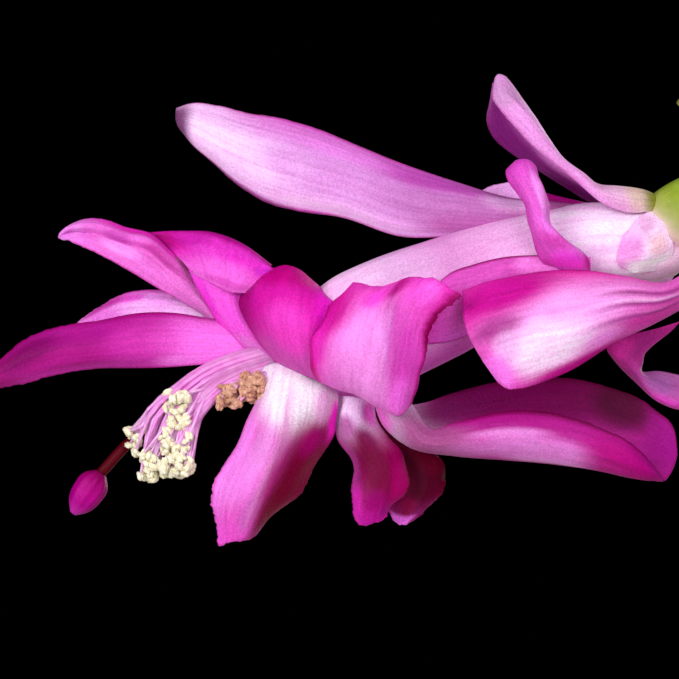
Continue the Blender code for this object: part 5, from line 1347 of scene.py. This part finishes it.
def shaded(tree, colour, pattern, reach, levels):
    """A colour made lighter and darker, between two levels, as a pattern runs along its reach."""
    level = add(tree, "MapRange", {"Value": pattern, "From Min": reach[0], "From Max": reach[1],
                                   "To Min": levels[0], "To Max": levels[1]})
    return add(tree, "Mix", {0: 1.0, 6: colour, 7: level}, out=2, data_type="RGBA", blend_type="MULTIPLY",
               clamp_result=True)


def tepal_material():
    """Living cactus tepal: thin wet cells under a fine skin. It glows a little, its veins run from base
    to tip, and each swollen surface cell catches the light as a tiny spark through its bump and gloss, with
    painted glints as a fine grain of lighter and darker colour."""
    mat, tree, shader, place = start("cactus_tepal_tissue", {
        "IOR": 1.42, "Specular IOR Level": 0.08, "Subsurface Weight": 0.22,
        "Subsurface Radius": (1.0, 0.28, 0.75), "Subsurface Scale": 0.9 * MM})
    tissue = add(tree, "Attribute", attribute_name="tissue")
    lay = add(tree, "UVMap", uv_map="UVMap")
    # about 30 veins across a tepal, each a quarter of its length
    along = add(tree, "Mapping", {"Vector": lay, "Scale": (30.0, 4.0, 1.0)})
    veins = add(tree, "TexNoise", {"Vector": along, "Scale": 1.0, "Detail": 3.0, "Roughness": 0.55})
    mottle = add(tree, "TexNoise", {"Vector": place, "Scale": every(3), "Detail": 2.0})
    # surface cells are 0.05 mm across, and are drawn 0.24 mm across to show
    cells = add(tree, "TexVoronoi", {"Vector": place, "Scale": every(0.24)})
    grain = add(tree, "TexNoise", {"Vector": place, "Scale": every(0.24), "Detail": 2.0, "Roughness": 0.7})
    deep = washed(tree, tissue, "#E58BD6", veins, (0.45, 0.75), 0.3)
    streaked = shaded(tree, deep, veins, (0.3, 0.7), (1.08, 0.94))
    patched = washed(tree, streaked, "#F0A4E2", mottle, (0.45, 0.75), 0.2)
    # the grain's lighter and darker colour is painted glints on the swollen cells
    grain_and_painted_glints = shaded(tree, patched, grain, (0.36, 0.64), (0.86, 1.14))
    gloss = add(tree, "MapRange", {"Value": grain, "From Min": 0.3, "From Max": 0.7,
                                   "To Min": 0.52, "To Max": 0.34})
    ribbed = add(tree, "Bump", {"Height": veins, "Strength": 0.35, "Distance": 0.22 * MM})
    beaded = add(tree, "Bump", {"Height": cells, "Strength": 0.6, "Distance": 0.08 * MM, "Normal": ribbed},
                 invert=True)
    plug(tree, shader, {"Base Color": grain_and_painted_glints, "Roughness": gloss, "Normal": beaded})
    return mat


def stem_material():
    """Succulent stem: a waxy green skin over wet flesh, smooth and half glossy, with paler breathing
    pores, faint veins, and brown cork where it is old."""
    mat, tree, shader, place = start("waxy_cactus_stem", {
        "IOR": 1.45, "Coat Weight": 0.18, "Coat Roughness": 0.28, "Subsurface Weight": 0.12,
        "Subsurface Radius": (0.5, 1.0, 0.2), "Subsurface Scale": 1.2 * MM})
    tissue = add(tree, "Attribute", attribute_name="tissue")
    lay = add(tree, "UVMap", uv_map="UVMap")
    mottle = add(tree, "TexNoise", {"Vector": place, "Scale": every(6), "Detail": 4.0})
    # breathing pores are 0.05 mm across, and are drawn 0.7 mm apart to show
    pores = add(tree, "TexVoronoi", {"Vector": place, "Scale": every(0.7)})
    # about nine veins across a segment, each a fifth of its length
    along = add(tree, "Mapping", {"Vector": lay, "Scale": (9.0, 5.0, 1.0)})
    veins = add(tree, "TexNoise", {"Vector": along, "Scale": 1.0, "Detail": 3.0})
    darker = washed(tree, tissue, "#A9C07A", mottle, (0.4, 0.7), 0.7)
    veined = washed(tree, darker, "#9DBB55", veins, (0.5, 0.75), 0.25, "SCREEN")
    dotted = washed(tree, veined, "#A8C468", pores, (0.22, 0.08), 0.3, "SCREEN")
    gloss = add(tree, "MapRange", {"Value": mottle, "From Min": 0.3, "From Max": 0.7,
                                   "To Min": 0.36, "To Max": 0.52})
    waved = add(tree, "Bump", {"Height": veins, "Strength": 0.4, "Distance": 0.5 * MM})
    pitted = add(tree, "Bump", {"Height": pores, "Strength": 0.3, "Distance": 0.12 * MM, "Normal": waved})
    plug(tree, shader, {"Base Color": dotted, "Roughness": gloss, "Normal": pitted})
    return mat


def bristle_material():
    """Areole bristle: dry horny hair, straw brown and dull."""
    mat, tree, shader, place = start("dry_areole_bristle", {"Roughness": 0.7})
    bands = add(tree, "TexNoise", {"Vector": place, "Scale": every(1.5), "Detail": 2.0})
    straw = washed(tree, rgba("#6E5232"), "#C9B07C", bands, (0.0, 1.0), kind="MIX")
    plug(tree, shader, {"Base Color": straw})
    return mat


def filament_material():
    """Stamen filament: a thread of clear wet tissue, lilac pink, glassy where it is thin."""
    mat, tree, shader, place = start("stamen_filament_thread", {
        "IOR": 1.4, "Roughness": 0.3, "Subsurface Weight": 0.35,
        "Subsurface Radius": (1.0, 0.5, 0.9), "Subsurface Scale": 0.6 * MM})
    tissue = add(tree, "Attribute", attribute_name="tissue")
    streaks = add(tree, "TexNoise", {"Vector": place, "Scale": every(1.2), "Detail": 2.0})
    lilac = washed(tree, tissue, "#EC90DE", streaks, (0.4, 0.7), 0.5)
    ridged = add(tree, "Bump", {"Height": streaks, "Strength": 0.3, "Distance": 0.05 * MM})
    plug(tree, shader, {"Base Color": lilac, "Normal": ridged})
    return mat


def pollen_material(name, dark, light):
    """Burst anther: a crust of dry pollen, grainy and without gloss; it browns as it ages."""
    mat, tree, shader, place = start(name, {
        "Roughness": 0.88, "Subsurface Weight": 0.15,
        "Subsurface Radius": (1.0, 0.8, 0.5), "Subsurface Scale": 0.4 * MM})
    crust = add(tree, "TexNoise", {"Vector": place, "Scale": every(0.5), "Detail": 5.0, "Roughness": 0.7})
    # pollen grains are 0.05 mm across, and are drawn 0.22 mm across to show
    specks = add(tree, "TexVoronoi", {"Vector": place, "Scale": every(0.22)})
    dusty = washed(tree, rgba(dark), light, crust, (0.35, 0.62), kind="MIX")
    rough = add(tree, "Bump", {"Height": crust, "Strength": 0.7, "Distance": 0.2 * MM})
    grains = add(tree, "Bump", {"Height": specks, "Strength": 0.6, "Distance": 0.1 * MM, "Normal": rough},
                 invert=True)
    plug(tree, shader, {"Base Color": dusty, "Normal": grains})
    return mat


def pistil_material():
    """Style and stigma: smooth wet crimson tissue, the stigma set with fine sticky beads."""
    mat, tree, shader, place = start("sticky_pistil_tissue", {
        "IOR": 1.42, "Specular IOR Level": 0.1, "Subsurface Weight": 0.1,
        "Subsurface Radius": (1.0, 0.2, 0.5), "Subsurface Scale": 0.8 * MM})
    tissue = add(tree, "Attribute", attribute_name="tissue")
    beads = add(tree, "TexVoronoi", {"Vector": place, "Scale": every(0.3)})
    lit = washed(tree, tissue, "#FFD0F4", beads, (0.3, 0.05), 0.12, "SOFT_LIGHT")
    gloss = add(tree, "MapRange", {"Value": beads, "From Min": 0.0, "From Max": 0.6,
                                   "To Min": 0.3, "To Max": 0.5})
    beaded = add(tree, "Bump", {"Height": beads, "Strength": 0.5, "Distance": 0.1 * MM}, invert=True)
    plug(tree, shader, {"Base Color": lit, "Roughness": gloss, "Normal": beaded})
    return mat


def clay_material():
    """Terracotta: earthenware thrown and fired without glaze. Dull and chalky, with fine grog specks,
    darker damp bands and a white lime bloom where the salts come through."""
    mat, tree, shader, place = start("unglazed_terracotta", {"IOR": 1.5, "Specular IOR Level": 0.3})
    clouds = add(tree, "TexNoise", {"Vector": place, "Scale": every(30), "Detail": 5.0})
    # bands that run round the pot, 2.4 mm apart
    bands = add(tree, "Mapping", {"Vector": place, "Scale": (12.0, 12.0, 420.0)})
    thrown = add(tree, "TexNoise", {"Vector": bands, "Scale": 1.0, "Detail": 3.0})
    grog = add(tree, "TexNoise", {"Vector": place, "Scale": every(0.9), "Detail": 3.0})
    lime = add(tree, "TexNoise", {"Vector": place, "Scale": every(18), "Detail": 8.0, "Roughness": 0.68})
    # more lime near the foot and near the rim
    height = add(tree, "SeparateXYZ", {"Vector": place}, out="Z")
    foot = add(tree, "MapRange", {"Value": height, "From Min": 45 * MM, "From Max": 0.0, "To Max": 0.16})
    rim = add(tree, "MapRange", {"Value": height, "From Min": 100 * MM, "From Max": POT_HEIGHT * MM,
                                 "To Max": 0.1})
    ends = add(tree, "Math", {0: foot, 1: rim}, operation="ADD")
    crust = add(tree, "Math", {0: lime, 1: ends}, operation="ADD")
    fired = washed(tree, rgba("#A9572F"), "#C87A4C", clouds, (0.35, 0.68), kind="MIX")
    ringed = washed(tree, fired, "#D9A98A", thrown, (0.5, 0.75), 0.45)
    specked = washed(tree, ringed, "#A06A4C", grog, (0.58, 0.7), 0.5)
    limed = washed(tree, specked, "#DCCDBE", crust, (0.56, 0.74), 0.72, "MIX")
    chalk = add(tree, "MapRange", {"Value": clouds, "From Min": 0.3, "From Max": 0.7,
                                   "To Min": 0.78, "To Max": 0.95})
    ridges = add(tree, "Bump", {"Height": thrown, "Strength": 0.5, "Distance": 0.4 * MM})
    pits = add(tree, "Bump", {"Height": grog, "Strength": 0.45, "Distance": 0.3 * MM, "Normal": ridges})
    plug(tree, shader, {"Base Color": limed, "Roughness": chalk, "Normal": pits})
    return mat


def earth_material(name, dark, light, size, depth):
    """Crumbly matter, dull and broken at the given grain size and depth in millimetres."""
    mat, tree, shader, place = start(name, {"Roughness": 0.93, "Specular IOR Level": 0.25})
    lumps = add(tree, "TexNoise", {"Vector": place, "Scale": every(size), "Detail": 6.0, "Roughness": 0.7})
    fibres = add(tree, "TexNoise", {"Vector": place, "Scale": 0.35 * every(size), "Detail": 3.0,
                                    "Distortion": 1.5})
    tone = washed(tree, rgba(dark), light, lumps, (0.35, 0.68), kind="MIX")
    fibrous = washed(tree, tone, dark, fibres, (0.4, 0.7), 0.5)
    broken = add(tree, "Bump", {"Height": lumps, "Strength": 0.9, "Distance": depth * MM})
    plug(tree, shader, {"Base Color": fibrous, "Normal": broken})
    return mat


def floor_material():
    """Pale matt card, a little uneven in tone."""
    mat, tree, shader, place = start("pale_floor_card", {"Roughness": 0.9})
    uneven = add(tree, "TexNoise", {"Vector": place, "Scale": 3.0, "Detail": 2.0})
    card = washed(tree, rgba("#D9D7D3"), "#DEDCD8", uneven, (0.0, 1.0), kind="MIX")
    plug(tree, shader, {"Base Color": card})
    return mat


# Studio

# middle of the picture, what its width takes in, and the camera's distance, in metres
BLOOM_AT = Vector((-0.1532, 0.0, 0.1923))
FRAME_WIDTH = 0.0815
CAMERA_DISTANCE = 0.55
# width of the camera's sensor in millimetres
SENSOR = 36.0
FLOOR_RADIUS = 1.7
# just below the pot's foot
FLOOR_LEVEL = -0.0004
# each lamp's name, place, aim, width and power
LAMPS = [("key", (-0.70, -0.76, 0.42), BLOOM_AT, 0.6, 7.3),
         ("fill", (0.34, -1.4, 0.62), (-0.1, 0, 0.17), 0.8, 9.4),
         ("top", (0.3, -0.45, 1.1), (0, 0, 0.12), 1.0, 4.8),
         ("back", (0.5, 1.1, 0.42), (0, 0, 0.15), 0.7, 5)]


def soft_light(name, at, target, size, power):
    data = bpy.data.lights.new(name, "AREA")
    data.shape = "DISK"
    data.size = size
    data.energy = power
    lamp = bpy.data.objects.new(name, data)
    lamp.location = at
    lamp.rotation_euler = (Vector(target) - Vector(at)).to_track_quat("-Z", "Y").to_euler()
    lamp.visible_camera = False
    bpy.context.scene.collection.objects.link(lamp)


def make_camera():
    """Looks at the large bloom squarely from the front."""
    camera = bpy.data.cameras.new("camera")
    camera.sensor_width = SENSOR
    camera.lens = SENSOR * CAMERA_DISTANCE / FRAME_WIDTH
    camera.clip_start = 0.01
    camera.clip_end = 20.0
    viewer = bpy.data.objects.new("camera", camera)
    viewer.location = BLOOM_AT + Vector((0, -CAMERA_DISTANCE, 0))
    viewer.rotation_euler = (math.pi / 2, 0, 0)
    bpy.context.scene.collection.objects.link(viewer)
    bpy.context.scene.camera = viewer


def make_floor():
    deselect_all()
    bpy.ops.mesh.primitive_circle_add(vertices=96, radius=FLOOR_RADIUS, fill_type="NGON",
                                      location=(0, 0, FLOOR_LEVEL))
    floor = bpy.context.object
    floor.name = "studio_floor"
    floor.data.materials.append(floor_material())


def make_studio():
    make_camera()
    make_floor()
    world = bpy.data.worlds.new("dark_room")
    world.use_nodes = True
    world.node_tree.nodes["Background"].inputs["Color"].default_value = (0, 0, 0, 1)
    bpy.context.scene.world = world
    bpy.context.scene.view_settings.view_transform = "Standard"
    for lamp in LAMPS:
        soft_light(*lamp)


def main():
    make_studio()
    clay = clay_material()
    mix = earth_material("peat_potting_mix", "#20160E", "#4A3624", 2.2, 1.2)
    bark = earth_material("composted_bark", "#3A2416", "#7A5434", 3.0, 0.8)
    perlite = earth_material("expanded_perlite", "#B9B6AE", "#F1EFEA", 1.2, 0.4)
    tepal = tepal_material()
    skin = stem_material()
    hair = bristle_material()
    pistil = pistil_material()
    stamen_skins = {"filament": filament_material(),
                    "cream": pollen_material("fresh_pollen_anther", "#E0D2A6", "#FFFBE6"),
                    "old": pollen_material("aged_pollen_anther", "#A86C54", "#EAB69C")}
    make_pot(clay)
    make_soil(mix, bark, perlite)
    for stem in STEMS:
        make_stem(stem, skin, hair)
        side = stem.name.replace("stem_", "")
        if stem.end == "bloom":
            place = bloom_place(stem)
            large = stem.name == "stem_left"
            make_tepals(side, "petals_" + side, place, tepal, large)
            make_stamens(side, "stamens_" + side, place, stamen_skins, large)
            make_pistil(side, "pistil_" + side, place, pistil)
        if stem.end == "bud":
            make_bud("bud_" + side, "bud_" + side, bud_place(stem), tepal)


main()
